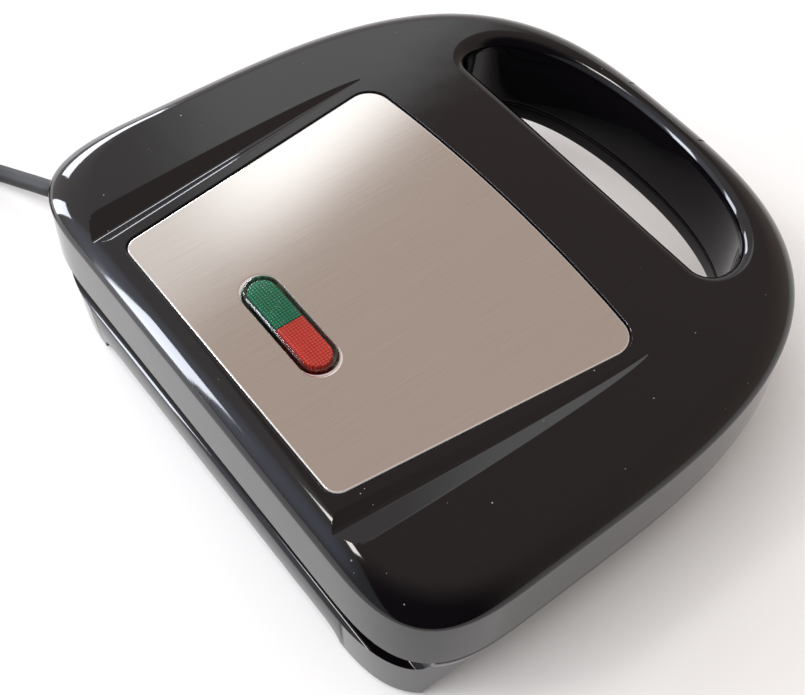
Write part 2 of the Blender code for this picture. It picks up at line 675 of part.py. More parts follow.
    half = LATCH_WIDTH / 2 + RUN_GAP
    recess = prism_along_x(latch_recess_profile(FRONT - OVERCUT, LATCH_PIN_Y + LATCH_BARREL
                                                + RUN_GAP), -half, half)
    boolean(lid, cutter("lid_latch_recess", recess))
    reach = LATCH_WIDTH / 2 + LATCH_PIN_OVERHANG
    hole = prism_along_x([(LATCH_PIN_Y + y, LATCH_PIN_HEIGHT + z)
                          for y, z in circle(LATCH_PIN_RADIUS + FIT_GAP, steps=16)],
                         -reach - FIT_GAP, reach + FIT_GAP)
    boolean(lid, cutter("lid_latch_pin_hole", hole))
    return lid


def lug_prisms(side):
    """The two plates beside each hinge ear: round below, running up to the lid's deck."""
    lugs = []
    for direction in (-1, 1):
        x0 = side * HINGE_X + direction * (HINGE_EAR_WIDTH / 2 + RUN_GAP)
        x1 = x0 + direction * HINGE_LUG_THICKNESS
        profile = [(HINGE_Y + HINGE_LUG_RADIUS, HINGE_Z + 0.007),
                   (HINGE_Y - HINGE_LUG_RADIUS, HINGE_Z + 0.007)]
        for i in range(11):
            a = math.pi + math.pi * i / 10
            profile.append((HINGE_Y + HINGE_LUG_RADIUS * math.cos(a),
                            HINGE_Z + HINGE_LUG_RADIUS * math.sin(a)))
        lugs.append(prism_along_x(profile, min(x0, x1), max(x0, x1)))
    return lugs


# Base housing: a tub with the rim band, the handle's lower half, the feet and the hinge ears

def arch(half, low, high, radius):
    """An arched opening's profile: straight sides below and rounded upper corners."""
    pts = [(half + radius, low), (half, high - radius)]
    for i in range(1, 6):
        a = math.pi / 2 * i / 5
        pts.append((half - radius + radius * math.cos(a), high - radius + radius * math.sin(a)))
    return pts + [(-x, z) for x, z in reversed(pts)]


def make_base():
    low = FOOT_CLEAR
    bm = bmesh.new()
    loops = [at_height(tub_outline(BASE_DRAFT + 0.0010), low),
             at_height(tub_outline(BASE_DRAFT), low + 0.0010),
             at_height(tub_outline(0.0), BAND_BOTTOM + 0.001)]
    loft(bm, loops)
    base = add_object("base_housing", bm, BLACK_GLOSS)

    bm = bmesh.new()
    loft(bm, [at_height(inset_outline(0.0012), BAND_BOTTOM),
              at_height(inset_outline(0.0002), BAND_BOTTOM + 0.0012),
              at_height(inset_outline(0.0), BASE_TOP - 0.0006),
              at_height(inset_outline(0.0006), BASE_TOP)])
    boolean(base, cutter("base_band", bm), "UNION")

    # the shoulder behind the seam is lower, so that the lid's wall can swing past it
    y1 = BACK + OVERCUT
    x1 = BODY_WIDTH
    bm = prism_along_x([(REBATE_Y, REBATE_FLOOR), (y1, REBATE_FLOOR), (y1, BASE_TOP + OVERCUT),
                        (REBATE_Y, BASE_TOP + OVERCUT)], -x1, x1)
    boolean(base, cutter("base_rebate", bm))
    shoulder_y = BACK - BASE_BACK_INSET
    profile = []
    for i in range(8):
        a = math.pi / 2 * i / 7
        profile.append((shoulder_y - SHOULDER_RADIUS + SHOULDER_RADIUS * math.cos(a),
                        REBATE_FLOOR - SHOULDER_RADIUS + SHOULDER_RADIUS * math.sin(a)))
    profile += [(shoulder_y - SHOULDER_RADIUS, REBATE_FLOOR + OVERCUT),
                (y1, REBATE_FLOOR + OVERCUT), (y1, REBATE_FLOOR - SHOULDER_RADIUS)]
    boolean(base, cutter("base_shoulder", prism_along_x(profile, -x1, x1)))

    # the inside of the tub, with bosses, hinge blocks and the pads' seats left standing
    cavity = bmesh.new()
    inner_top = BASE_TOP - SKIRT_DEPTH - WALL
    inner_back = REBATE_Y - WALL
    loft(cavity, [at_height(tub_outline(BASE_DRAFT + WALL), BASE_FLOOR),
                  at_height(tub_outline(WALL), inner_top)])
    hollow = cutter("base_hollow", cavity)
    behind = prism_along_x([(inner_back, BASE_FLOOR - OVERCUT), (y1, BASE_FLOOR - OVERCUT),
                            (y1, inner_top + OVERCUT), (inner_back, inner_top + OVERCUT)],
                           -x1, x1)
    boolean(hollow, cutter("base_back_wall", behind))
    for i, (x, y) in enumerate(SCREW_PLACES):
        boss = prism(circle(POST_RADIUS + 0.0012, (x, y), 12), BASE_BOTTOM,
                     BASE_TOP - REFLECTOR_BACK - FIT_GAP)
        boolean(hollow, cutter("base_boss_%d" % (i + 1), boss))
    boolean(base, hollow)

    opening = rounded_box(PLATE_WIDTH + 2 * PLATE_EDGE_GAP, PLATE_DEPTH + 2 * PLATE_EDGE_GAP,
                          PLATE_CORNER + PLATE_EDGE_GAP, (0, PLATE_Y), 6)
    boolean(base, cutter("base_plate_opening", prism(opening, inner_top - OVERCUT,
                                                     BASE_TOP + OVERCUT)))
    skirt = cutter("base_skirt", prism(inset_outline(WALL), BASE_TOP - SKIRT_DEPTH,
                                       BASE_TOP + OVERCUT))
    island = prism(slot_outline(WALL), BASE_TOP - 2 * OVERCUT, BASE_TOP + 2 * OVERCUT)
    boolean(skirt, cutter("base_skirt_slot_wall", island))
    block = prism([(-LATCH_WIDTH, FRONT), (LATCH_WIDTH, FRONT), (LATCH_WIDTH, SLOT_INNER_Y),
                   (-LATCH_WIDTH, SLOT_INNER_Y)], BASE_TOP - 2 * OVERCUT, BASE_TOP + 2 * OVERCUT)
    boolean(skirt, cutter("base_skirt_latch_block", block))
    boolean(base, skirt)

    boolean(base, slot_cutter("base_slot", BAND_BOTTOM, BASE_TOP, False))
    half = LATCH_WIDTH / 2 + RUN_GAP
    recess_back = LATCH_INNER_Y + RUN_GAP
    recess = prism_along_x([(FRONT - OVERCUT, BAND_BOTTOM - OVERCUT),
                            (recess_back, BAND_BOTTOM - OVERCUT),
                            (recess_back, BASE_TOP + OVERCUT), (FRONT - OVERCUT, BASE_TOP + OVERCUT)],
                           -half, half)
    boolean(base, cutter("base_latch_recess", recess))

    # arches between the feet
    foot_x = BODY_WIDTH / 2 - BASE_SIDE_INSET - FOOT_LENGTH_X
    across = arch(foot_x, low - OVERCUT, BASE_BOTTOM, ARCH_RADIUS)
    boolean(base, cutter("base_arch_along",
                         prism_along_y(across, TUB_FRONT - OVERCUT, BACK + OVERCUT)))
    centre = (TUB_FRONT + BACK) / 2
    foot_y = (BACK - TUB_FRONT) / 2 - FOOT_LENGTH_Y
    along = [(centre + y, z) for y, z in arch(foot_y, low - OVERCUT, BASE_BOTTOM, ARCH_RADIUS)]
    boolean(base, cutter("base_arch_across", prism_along_x(along, -x1, x1)))

    # hinge bays in the deck and the ears that reach back from them
    for side, name in ((1, "right"), (-1, "left")):
        x = side * HINGE_X
        half = HINGE_EAR_WIDTH / 2 + 2 * RUN_GAP + HINGE_LUG_THICKNESS + RUN_GAP
        front = HINGE_Y - HINGE_LUG_RADIUS - 2 * RUN_GAP
        bay = prism([(x - half, front), (x + half, front), (x + half, BACK), (x - half, BACK)],
                    REBATE_FLOOR, BASE_TOP + OVERCUT)
        boolean(base, cutter("base_hinge_bay_" + name, bay))
        ear = [(front - WALL, REBATE_FLOOR - 0.001), (HINGE_Y - 0.004, REBATE_FLOOR - 0.001)]
        for i in range(13):
            a = -math.pi * 0.65 + math.pi * 1.25 * i / 12
            ear.append((HINGE_Y + HINGE_EAR_RADIUS * math.cos(a),
                        HINGE_Z + HINGE_EAR_RADIUS * math.sin(a)))
        ear.append((front - WALL, BASE_TOP - SKIRT_DEPTH))
        bm = prism_along_x(ear, x - HINGE_EAR_WIDTH / 2, x + HINGE_EAR_WIDTH / 2)
        boolean(base, cutter("base_ear_" + name, bm), "UNION")
        reach = HINGE_EAR_WIDTH / 2 + OVERCUT
        hole = prism_along_x([(HINGE_Y + y, HINGE_Z + z)
                              for y, z in circle(HINGE_PIN_RADIUS + HINGE_CLEARANCE, steps=20)],
                             x - reach, x + reach)
        boolean(base, cutter("base_pin_hole_" + name, hole))

    for i, (x, y) in enumerate(SCREW_PLACES):
        bm = bmesh.new()
        head = SCREW_HEAD_RADIUS + FIT_GAP
        depth = SCREW_HEAD_HEIGHT + FIT_GAP
        loft(bm, [at_height(circle(head, (x, y), 12), BASE_BOTTOM - OVERCUT),
                  at_height(circle(head, (x, y), 12), BASE_BOTTOM + depth),
                  at_height(circle(SCREW_RADIUS + FIT_GAP, (x, y), 12), BASE_BOTTOM + depth),
                  at_height(circle(SCREW_RADIUS + FIT_GAP, (x, y), 12), BASE_TOP)])
        boolean(base, cutter("base_screw_hole_%d" % (i + 1), bm))

    # vent slots in the floor
    for i in range(5):
        x = (i - 2) * 0.010
        slot = rounded_box(0.004, 0.034, 0.0019, (x, 0.045), 3)
        boolean(base, cutter("base_vent_%d" % (i + 1), prism(slot, BASE_BOTTOM - OVERCUT,
                                                             BASE_FLOOR + OVERCUT)))

    # the lead's outlet and the seats of the rubber pads
    wall_x = outlet_x()
    hole = prism_along_x([(CORD_EXIT_Y + y, CORD_EXIT_Z + z)
                          for y, z in circle(RELIEF_RADIUS - 0.0012, steps=20)],
                         wall_x - 0.012, wall_x + 0.012)
    boolean(base, cutter("base_cord_outlet", hole))
    for name, (x, y) in pad_places().items():
        seat = prism(circle(PAD_RADIUS + FIT_GAP, (x, y), 16), -OVERCUT, PAD_THICKNESS + FIT_GAP)
        boolean(base, cutter("base_seat_" + name, seat))
    return base


def outlet_x():
    """Where the tub's side wall stands at the lead's outlet."""
    reach = CORNER_REACH
    start = BACK - BASE_BACK_INSET - reach
    rise = max(0.0, (CORD_EXIT_Y - start) / reach)
    fall = (1 - rise ** CORNER_POWER) ** (1 / CORNER_POWER)
    return BODY_WIDTH / 2 - BASE_SIDE_INSET - reach + reach * fall


def pad_places():
    x = BODY_WIDTH / 2 - BASE_SIDE_INSET - FOOT_LENGTH_X * 0.58
    y_front = TUB_FRONT + FOOT_LENGTH_Y * 0.46
    y_back = BACK - BASE_BACK_INSET - FOOT_LENGTH_Y * 0.62
    return {"front_right": (x, y_front), "front_left": (-x, y_front),
            "back_right": (x, y_back), "back_left": (-x, y_back)}


def make_pads():
    for name, (x, y) in pad_places().items():
        bm = bmesh.new()
        loft(bm, [at_height(circle(PAD_RADIUS - 0.0008, (x, y), 16), 0.0),
                  at_height(circle(PAD_RADIUS, (x, y), 16), 0.0008),
                  at_height(circle(PAD_RADIUS, (x, y), 16), PAD_THICKNESS)])
        add_object("foot_pad_" + name, bm, RUBBER)


# Hinge pins

def make_hinge_pins():
    for side, name in ((1, "right"), (-1, "left")):
        x = side * HINGE_X
        reach = HINGE_EAR_WIDTH / 2 + RUN_GAP + HINGE_LUG_THICKNESS
        pin = prism_along_x([(HINGE_Y + y, HINGE_Z + z)
                             for y, z in circle(HINGE_PIN_RADIUS, steps=20)],
                            x - reach, x + reach)
        add_object("hinge_pin_" + name, pin, ZINC)


# Steel panel and indicator

def make_panel():
    low = LID_TOP - PANEL_RECESS + FIT_GAP
    bm = bmesh.new()
    edge = 0.0002
    loft(bm, [at_height(panel_outline(), low), at_height(panel_outline(), PANEL_TOP - edge),
              at_height(panel_outline(-edge), PANEL_TOP)])
    panel = add_object("steel_panel", bm, STEEL)
    bm = bmesh.new()
    loops = []
    for grow, z in ((FIT_GAP * 2, low - OVERCUT), (FIT_GAP * 2, low + PANEL_THICKNESS * 0.4),
                    (0.0013, PANEL_TOP), (0.0013, PANEL_TOP + OVERCUT)):
        loops.append([(x, y + LENS_Y, z) for x, y in capsule(LENS_LENGTH + 2 * grow,
                                                              LENS_WIDTH + 2 * grow)])
    loft(bm, loops)
    boolean(panel, cutter("panel_window", bm))


def make_lens():
    top = LID_TOP + LENS_PROUD
    low = LID_CEILING - LENS_DROP
    soft = 0.0012
    bm = bmesh.new()
    loops = []
    for grow, z in ((0, low), (0, top - soft), (-soft * 0.3, top - soft * 0.3), (-soft, top)):
        loops.append([(x, y + LENS_Y, z) for x, y in capsule(LENS_LENGTH + 2 * grow,
                                                              LENS_WIDTH + 2 * grow)])
    loft(bm, loops)
    cover = add_object("lens_cover", bm, CLEAR)
    inner_l = LENS_LENGTH - 2 * LENS_WALL
    inner_w = LENS_WIDTH - 2 * LENS_WALL
    inside = [(x, y + LENS_Y) for x, y in capsule(inner_l, inner_w)]
    boolean(cover, cutter("lens_hollow", prism(inside, low - OVERCUT, top - LENS_WALL)))

    tint = [(x, y) for x, y in capsule(inner_l - 2 * FIT_GAP, inner_w - 2 * FIT_GAP)]
    right = [(x, y + LENS_Y) for x, y in tint if x > 0]
    right += [(FIT_GAP / 2, right[-1][1]), (FIT_GAP / 2, right[0][1])]
    left = [(-x, y) for x, y in reversed(right)]
    for name, outline, mat in (("lens_green", right, GREEN), ("lens_red", left, RED)):
        add_object(name, prism(outline, low, top - LENS_WALL - FIT_GAP), mat)


def make_lamp_holder():
    """Tray under the window that carries the two neon lamps."""
    high = LID_CEILING - LENS_DROP - FIT_GAP
    depth = HOLDER_DEPTH
    length = LENS_LENGTH + 0.006
    width = LENS_WIDTH + 0.005
    outline = [(x, y + LENS_Y) for x, y in capsule(length, width)]
    holder = add_object("lamp_holder", prism(outline, high - depth, high), CREAM)
    inside = [(x, y + LENS_Y) for x, y in capsule(length - 2 * HOLDER_WALL,
                                                   width - 2 * HOLDER_WALL)]
    boolean(holder, cutter("holder_hollow", prism(inside, high - depth + HOLDER_WALL,
                                                  high + OVERCUT)))
    lamp_z = high - depth + HOLDER_WALL + FIT_GAP + LAMP_RADIUS
    for side, name in ((1, "green"), (-1, "red")):
        centre = side * LENS_LENGTH / 4
        profile = [(LENS_Y + y, lamp_z + z) for y, z in circle(LAMP_RADIUS, steps=14)]
        bm = prism_along_x(profile, centre - LAMP_LENGTH / 2, centre + LAMP_LENGTH / 2)
        add_object("neon_lamp_" + name, bm, LAMP_GLASS)


# Cooking plates: shallow castings whose eight drafted pockets are divided by cutting ridges

def pocket_corners():
    """The four triangular pockets of a plate, two for each slice of bread."""
    w = POCKET_FIELD_WIDTH / 2
    d = POCKET_FIELD_DEPTH / 2
    shapes = []
    for side in (1, -1):
        outer, inner = side * w, side * CUT_RIDGE / 2
        front, back = PLATE_Y - d, PLATE_Y + d
        for corners in ([(inner, front), (outer, front), (inner, back)],
                        [(outer, front), (outer, back), (inner, back)]):
            if side < 0:
                corners = list(reversed(corners))
            shapes.append(corners)
    return shapes


def draw_in(corners, amount):
    """Move each side of a triangle towards its middle."""
    lines = []
    n = len(corners)
    for i in range(n):
        a, b = Vector(corners[i]), Vector(corners[(i + 1) % n])
        run = (b - a).normalized()
        normal = Vector((-run.y, run.x))
        lines.append((a + normal * amount, run))
    out = []
    for i in range(n):
        p, u = lines[i - 1]
        q, v = lines[i]
        cross = u.x * v.y - u.y * v.x
        t = ((q - p).x * v.y - (q - p).y * v.x) / cross
        out.append(tuple(p + u * t))
    return out


def pocket_loops(grow, depth, place):
    """Levels of one pocket, from the cooking face down to its floor."""
    loops = []
    for corners in pocket_corners():
        levels = []
        for share, lean in ((-0.12, 0.0), (0.0, 0.0), (0.80, 0.70), (1.0, 1.0)):
            amount = CUT_RIDGE / 2 + POCKET_SLOPE * lean - grow
            radius = max(POCKET_CORNER + grow - POCKET_SLOPE * lean * 0.4, 0.002)
            outline = rounded(draw_in(corners, amount), [radius] * 3, 4)
            levels.append([(x, y, place(depth * share)) for x, y in outline])
        loops.append(levels)
    return loops


def make_plate(name, sign, seam):
    """One casting; sign is the way its back faces, and place() turns depth into height."""
    def place(depth):
        return seam + sign * (PLATE_SEAL_GAP + depth)

    slab = rounded_box(PLATE_WIDTH, PLATE_DEPTH, PLATE_CORNER, (0, PLATE_Y), 6)
    core = rounded_box(PLATE_WIDTH - 2 * PLATE_THICKNESS, PLATE_DEPTH - 2 * PLATE_THICKNESS,
                       PLATE_CORNER - PLATE_THICKNESS, (0, PLATE_Y), 6)
    bm = bmesh.new()
    soft = 0.0006
    edge = rounded_box(PLATE_WIDTH - 2 * soft, PLATE_DEPTH - 2 * soft, PLATE_CORNER - soft,
                       (0, PLATE_Y), 6)
    loft(bm, [[(x, y, place(0)) for x, y in edge], [(x, y, place(soft)) for x, y in slab],
              [(x, y, place(PLATE_THICKNESS + PLATE_RIM)) for x, y in slab]])
    plate = add_object(name, bm, NON_STICK)
    bm = bmesh.new()
    loft(bm, [[(x, y, place(PLATE_THICKNESS)) for x, y in core],
              [(x, y, place(PLATE_THICKNESS + PLATE_RIM + OVERCUT)) for x, y in core]])
    boolean(plate, cutter(name + "_back", bm))
    for i, levels in enumerate(pocket_loops(PLATE_THICKNESS * 0.8, POCKET_DEPTH + PLATE_THICKNESS,
                                            place)):
        bm = bmesh.new()
        loft(bm, levels[1:])
        shell = cutter("%s_shell_%d" % (name, i + 1), bm)
        boolean(plate, shell, "UNION")
    for i, (x, y) in enumerate(SCREW_PLACES):
        bm = bmesh.new()
        pillar = circle(POST_RADIUS, (x, y), 12)
        loft(bm, [[(px, py, place(PLATE_THICKNESS * 0.5)) for px, py in pillar],
                  [(px, py, place(REFLECTOR_LEVEL - PLATE_SEAL_GAP - FIT_GAP)) for px, py in pillar]])
        boolean(plate, cutter("%s_post_%d" % (name, i + 1), bm), "UNION")
    bm = bmesh.new()
    seat = circle(THERMOSTAT_RADIUS, (0, PLATE_Y), 20)
    loft(bm, [[(x, y, place(PLATE_THICKNESS * 0.5)) for x, y in seat],
              [(x, y, place(POCKET_DEPTH + PLATE_THICKNESS)) for x, y in seat]])
    boolean(plate, cutter(name + "_seat", bm), "UNION")
    for i, levels in enumerate(pocket_loops(0.0, POCKET_DEPTH, place)):
        bm = bmesh.new()
        loft(bm, levels)
        boolean(plate, cutter("%s_pocket_%d" % (name, i + 1), bm))
    for i, (x, y) in enumerate(SCREW_PLACES):
        bm = bmesh.new()
        bore = circle(SCREW_RADIUS + FIT_GAP, (x, y), 12)
        top = REFLECTOR_LEVEL - PLATE_SEAL_GAP
        loft(bm, [[(px, py, place(top - screw_bite())) for px, py in bore],
                  [(px, py, place(top + OVERCUT)) for px, py in bore]])
        boolean(plate, cutter("%s_bore_%d" % (name, i + 1), bm))
    bm = bmesh.new()
    margin = (PLATE_DEPTH - POCKET_FIELD_DEPTH) / 4
    far = rounded_box(PLATE_WIDTH - 2 * margin + GUTTER_WIDTH, PLATE_DEPTH - 2 * margin + GUTTER_WIDTH,
                      PLATE_CORNER - margin + GUTTER_WIDTH / 2, (0, PLATE_Y), 6)
    near = rounded_box(PLATE_WIDTH - 2 * margin - GUTTER_WIDTH, PLATE_DEPTH - 2 * margin - GUTTER_WIDTH,
                       PLATE_CORNER - margin - GUTTER_WIDTH / 2, (0, PLATE_Y), 6)
    loft(bm, [[(x, y, place(-OVERCUT)) for x, y in far],
              [(x, y, place(GUTTER_DEPTH)) for x, y in far]])
    ring = cutter(name + "_gutter", bm)
    bm = bmesh.new()
    loft(bm, [[(x, y, place(-2 * OVERCUT)) for x, y in near],
              [(x, y, place(GUTTER_DEPTH + OVERCUT)) for x, y in near]])
    boolean(ring, cutter(name + "_gutter_core", bm))
    boolean(plate, ring)


def screw_bite():
    """How far the screw's thread runs into the plate's post."""
    wall = WALL - SCREW_HEAD_HEIGHT
    return SCREW_LENGTH - wall


# Heating elements, reflectors, thermostat and thermal fuse

def heater_path():
    """Open loop of the sheathed element, seen from above."""
    corners = [(HEATER_TAIL_X, HEATER_TAIL_Y), (HEATER_TAIL_X, HEATER_BACK),
               (HEATER_HALF_WIDTH, HEATER_BACK), (HEATER_HALF_WIDTH, HEATER_FRONT),
               (-HEATER_HALF_WIDTH, HEATER_FRONT), (-HEATER_HALF_WIDTH, HEATER_BACK),
               (-HEATER_TAIL_X, HEATER_BACK), (-HEATER_TAIL_X, HEATER_TAIL_Y)]
    pts = [corners[0]]
    for a, p, b in zip(corners, corners[1:], corners[2:]):
        corner = Vector(p)
        u = (Vector(a) - corner)
        v = (Vector(b) - corner)
        radius = min(HEATER_BEND, u.length * 0.55, v.length * 0.45)
        u.normalize()
        v.normalize()
        centre = corner + (u + v) * radius
        for k in range(4):
            t = math.pi / 2 * k / 3
            q = centre - v * radius * math.cos(t) - u * radius * math.sin(t)
            pts.append((q.x, q.y))
    pts.append(corners[-1])
    return pts


def make_heater(name, seam, sign):
    z = seam + sign * HEATER_LEVEL
    curve_tube(name, [(x, y, z) for x, y in heater_path()], HEATER_RADIUS, HEATER_METAL, 2)


def make_reflector(name, seam, sign):
    near = seam + sign * REFLECTOR_LEVEL
    far = seam + sign * REFLECTOR_BACK
    outline = rounded_box(REFLECTOR_WIDTH, REFLECTOR_DEPTH, REFLECTOR_CORNER,
                          (0, REFLECTOR_Y), 4)
    sheet = add_object(name, prism(outline, min(near, far), max(near, far)), ALUMINIUM)
    for i, (x, y) in enumerate(SCREW_PLACES):
        hole = prism(circle(SCREW_RADIUS + FIT_GAP, (x, y), 12), min(near, far) - OVERCUT,
                     max(near, far) + OVERCUT)
        boolean(sheet, cutter("%s_hole_%d" % (name, i + 1), hole))
    hole = prism(circle(THERMOSTAT_RADIUS + 0.0012, (0, PLATE_Y), 20), min(near, far) - OVERCUT,
                 max(near, far) + OVERCUT)
    boolean(sheet, cutter(name + "_thermostat_hole", hole))


def make_thermostat():
    z0 = LID_BOTTOM - SEAM_GAP / 2 + PLATE_BACK_LEVEL + FIT_GAP
    bm = bmesh.new()
    loft(bm, [at_height(circle(THERMOSTAT_RADIUS, (0, PLATE_Y), 20), z0),
              at_height(circle(THERMOSTAT_RADIUS, (0, PLATE_Y), 20), z0 + THERMOSTAT_HEIGHT * 0.4),
              at_height(circle(THERMOSTAT_RADIUS * 0.82, (0, PLATE_Y), 20),
                        z0 + THERMOSTAT_HEIGHT * 0.4),
              at_height(circle(THERMOSTAT_RADIUS * 0.82, (0, PLATE_Y), 20), z0 + THERMOSTAT_HEIGHT)])
    add_object("thermostat", bm, CREAM)
    z = PARTING_HEIGHT - PLATE_BACK_LEVEL - FIT_GAP - FUSE_RADIUS
    centre = (POCKET_FIELD_WIDTH * 0.17, PLATE_Y + 0.012)
    profile = [(centre[1] + y, z + h) for y, h in circle(FUSE_RADIUS, steps=12)]
    add_object("thermal_fuse", prism_along_x(profile, centre[0] - FUSE_LENGTH / 2,
                                             centre[0] + FUSE_LENGTH / 2), CREAM)


# Screws

def make_screw(name, x, y, head_z, sign):
    """Pan-head screw; sign is the way the head faces."""
    bm = bmesh.new()
    top = head_z + sign * SCREW_HEAD_HEIGHT
    loft(bm, [at_height(circle(SCREW_RADIUS, (x, y), 12), head_z - sign * SCREW_LENGTH),
              at_height(circle(SCREW_RADIUS, (x, y), 12), head_z),
              at_height(circle(SCREW_HEAD_RADIUS, (x, y), 12), head_z),
              at_height(circle(SCREW_HEAD_RADIUS, (x, y), 12),
                        head_z + sign * SCREW_HEAD_HEIGHT * 0.6),
              at_height(circle(SCREW_HEAD_RADIUS * 0.8, (x, y), 12), top)])
    add_object(name, bm, ZINC)


# Cable clamp and terminal block inside the base

def make_terminals():
    x = outlet_x() - WALL - 0.0085
    y = CORD_EXIT_Y - TERMINAL_FROM_LEAD
    z = BASE_FLOOR + FIT_GAP
    block = add_object("terminal_block", prism(rounded_box(0.010, 0.026, 0.0012, (x, y), 3),
                                               z, z + TERMINAL_HEIGHT), CREAM)
    for i in range(3):
        hole = prism(circle(0.0021, (x, y + (i - 1) * 0.008), 12), z + TERMINAL_HEIGHT / 2,
                     z + TERMINAL_HEIGHT + OVERCUT)
        boolean(block, cutter("terminal_screw_well_%d" % (i + 1), hole))
    bar = add_object("cable_clamp", prism_along_x(
        [(CORD_EXIT_Y - 0.009, BASE_FLOOR + FIT_GAP), (CORD_EXIT_Y + 0.009, BASE_FLOOR + FIT_GAP),
         (CORD_EXIT_Y + 0.009, BASE_FLOOR + 0.004), (CORD_EXIT_Y + 0.005, CORD_EXIT_Z + 0.005),
         (CORD_EXIT_Y - 0.005, CORD_EXIT_Z + 0.005), (CORD_EXIT_Y - 0.009, BASE_FLOOR + 0.004)],
        x - 0.004, x + 0.004), CREAM)
    hole = prism_along_x([(CORD_EXIT_Y + py, CORD_EXIT_Z - 0.001 + pz)
                          for py, pz in circle(CORD_RADIUS, steps=14)], x - 0.006, x + 0.006)
    boolean(bar, cutter("clamp_hole", hole))


# Latch: a flush clip on a pin in the handle, hooked under the base's half of the handle

def make_latch():
    profile = []
    for i in range(11):
        a = math.pi * (1 - 1.3 * i / 10)
        profile.append((LATCH_PIN_Y + LATCH_BARREL * math.cos(a),
                        LATCH_PIN_HEIGHT + LATCH_BARREL * math.sin(a)))
    outer = FRONT + LATCH_SUNK
    hook_top = BAND_BOTTOM - FIT_GAP
    low = hook_top - LATCH_HOOK_THICKNESS
    tip = LATCH_INNER_Y + LATCH_HOOK_REACH
    profile += [(LATCH_INNER_Y, LATCH_PIN_HEIGHT - LATCH_BARREL * 1.4), (LATCH_INNER_Y, hook_top),
                (tip, hook_top), (tip, hook_top - 0.0012), (tip - 0.0014, low),
                (outer + 0.0012, low), (outer, low + 0.0012)]
    half = LATCH_WIDTH / 2
    bm = prism_along_x(profile, -half, half)
    clip = add_object("latch_clip", bm, BLACK_INNER,
                      origin=(0, LATCH_PIN_Y, LATCH_PIN_HEIGHT))
    hole = prism_along_x([(LATCH_PIN_Y + y, LATCH_PIN_HEIGHT + z)
                          for y, z in circle(LATCH_PIN_RADIUS + HINGE_CLEARANCE, steps=16)],
                         -half - OVERCUT, half + OVERCUT)
    boolean(clip, cutter("latch_pin_bore", hole))
    dip_low = hook_top + LATCH_DIP_ABOVE_HOOK
    dip_high = dip_low + LATCH_DIP_HEIGHT
    slope = (LATCH_DIP_DEPTH + OVERCUT) * 1.2
    grip = prism_along_x([(FRONT - OVERCUT, dip_low), (FRONT + LATCH_DIP_DEPTH, dip_low + slope),
                          (FRONT + LATCH_DIP_DEPTH, dip_high - slope), (FRONT - OVERCUT, dip_high)],
                         -half * 0.7, half * 0.7)
    boolean(clip, cutter("latch_finger_dip", grip))
    reach = half + LATCH_PIN_OVERHANG
    pin = prism_along_x([(LATCH_PIN_Y + y, LATCH_PIN_HEIGHT + z)
                         for y, z in circle(LATCH_PIN_RADIUS, steps=16)], -reach, reach)
    add_object("latch_pin", pin, ZINC)


# Mains lead: strain relief, free tube, coil, tie and plug

def relief_path(length, pieces):
    """Centre line of the strain relief: straight out of the wall, curving back a little."""
    x0 = outlet_x() + FIT_GAP
    pts = []
    for i in range(pieces + 1):
        x = length * i / pieces
        pts.append((x0 + x, CORD_EXIT_Y + CORD_BEND * x * x, CORD_EXIT_Z - 1.2 * x * x))
    return pts


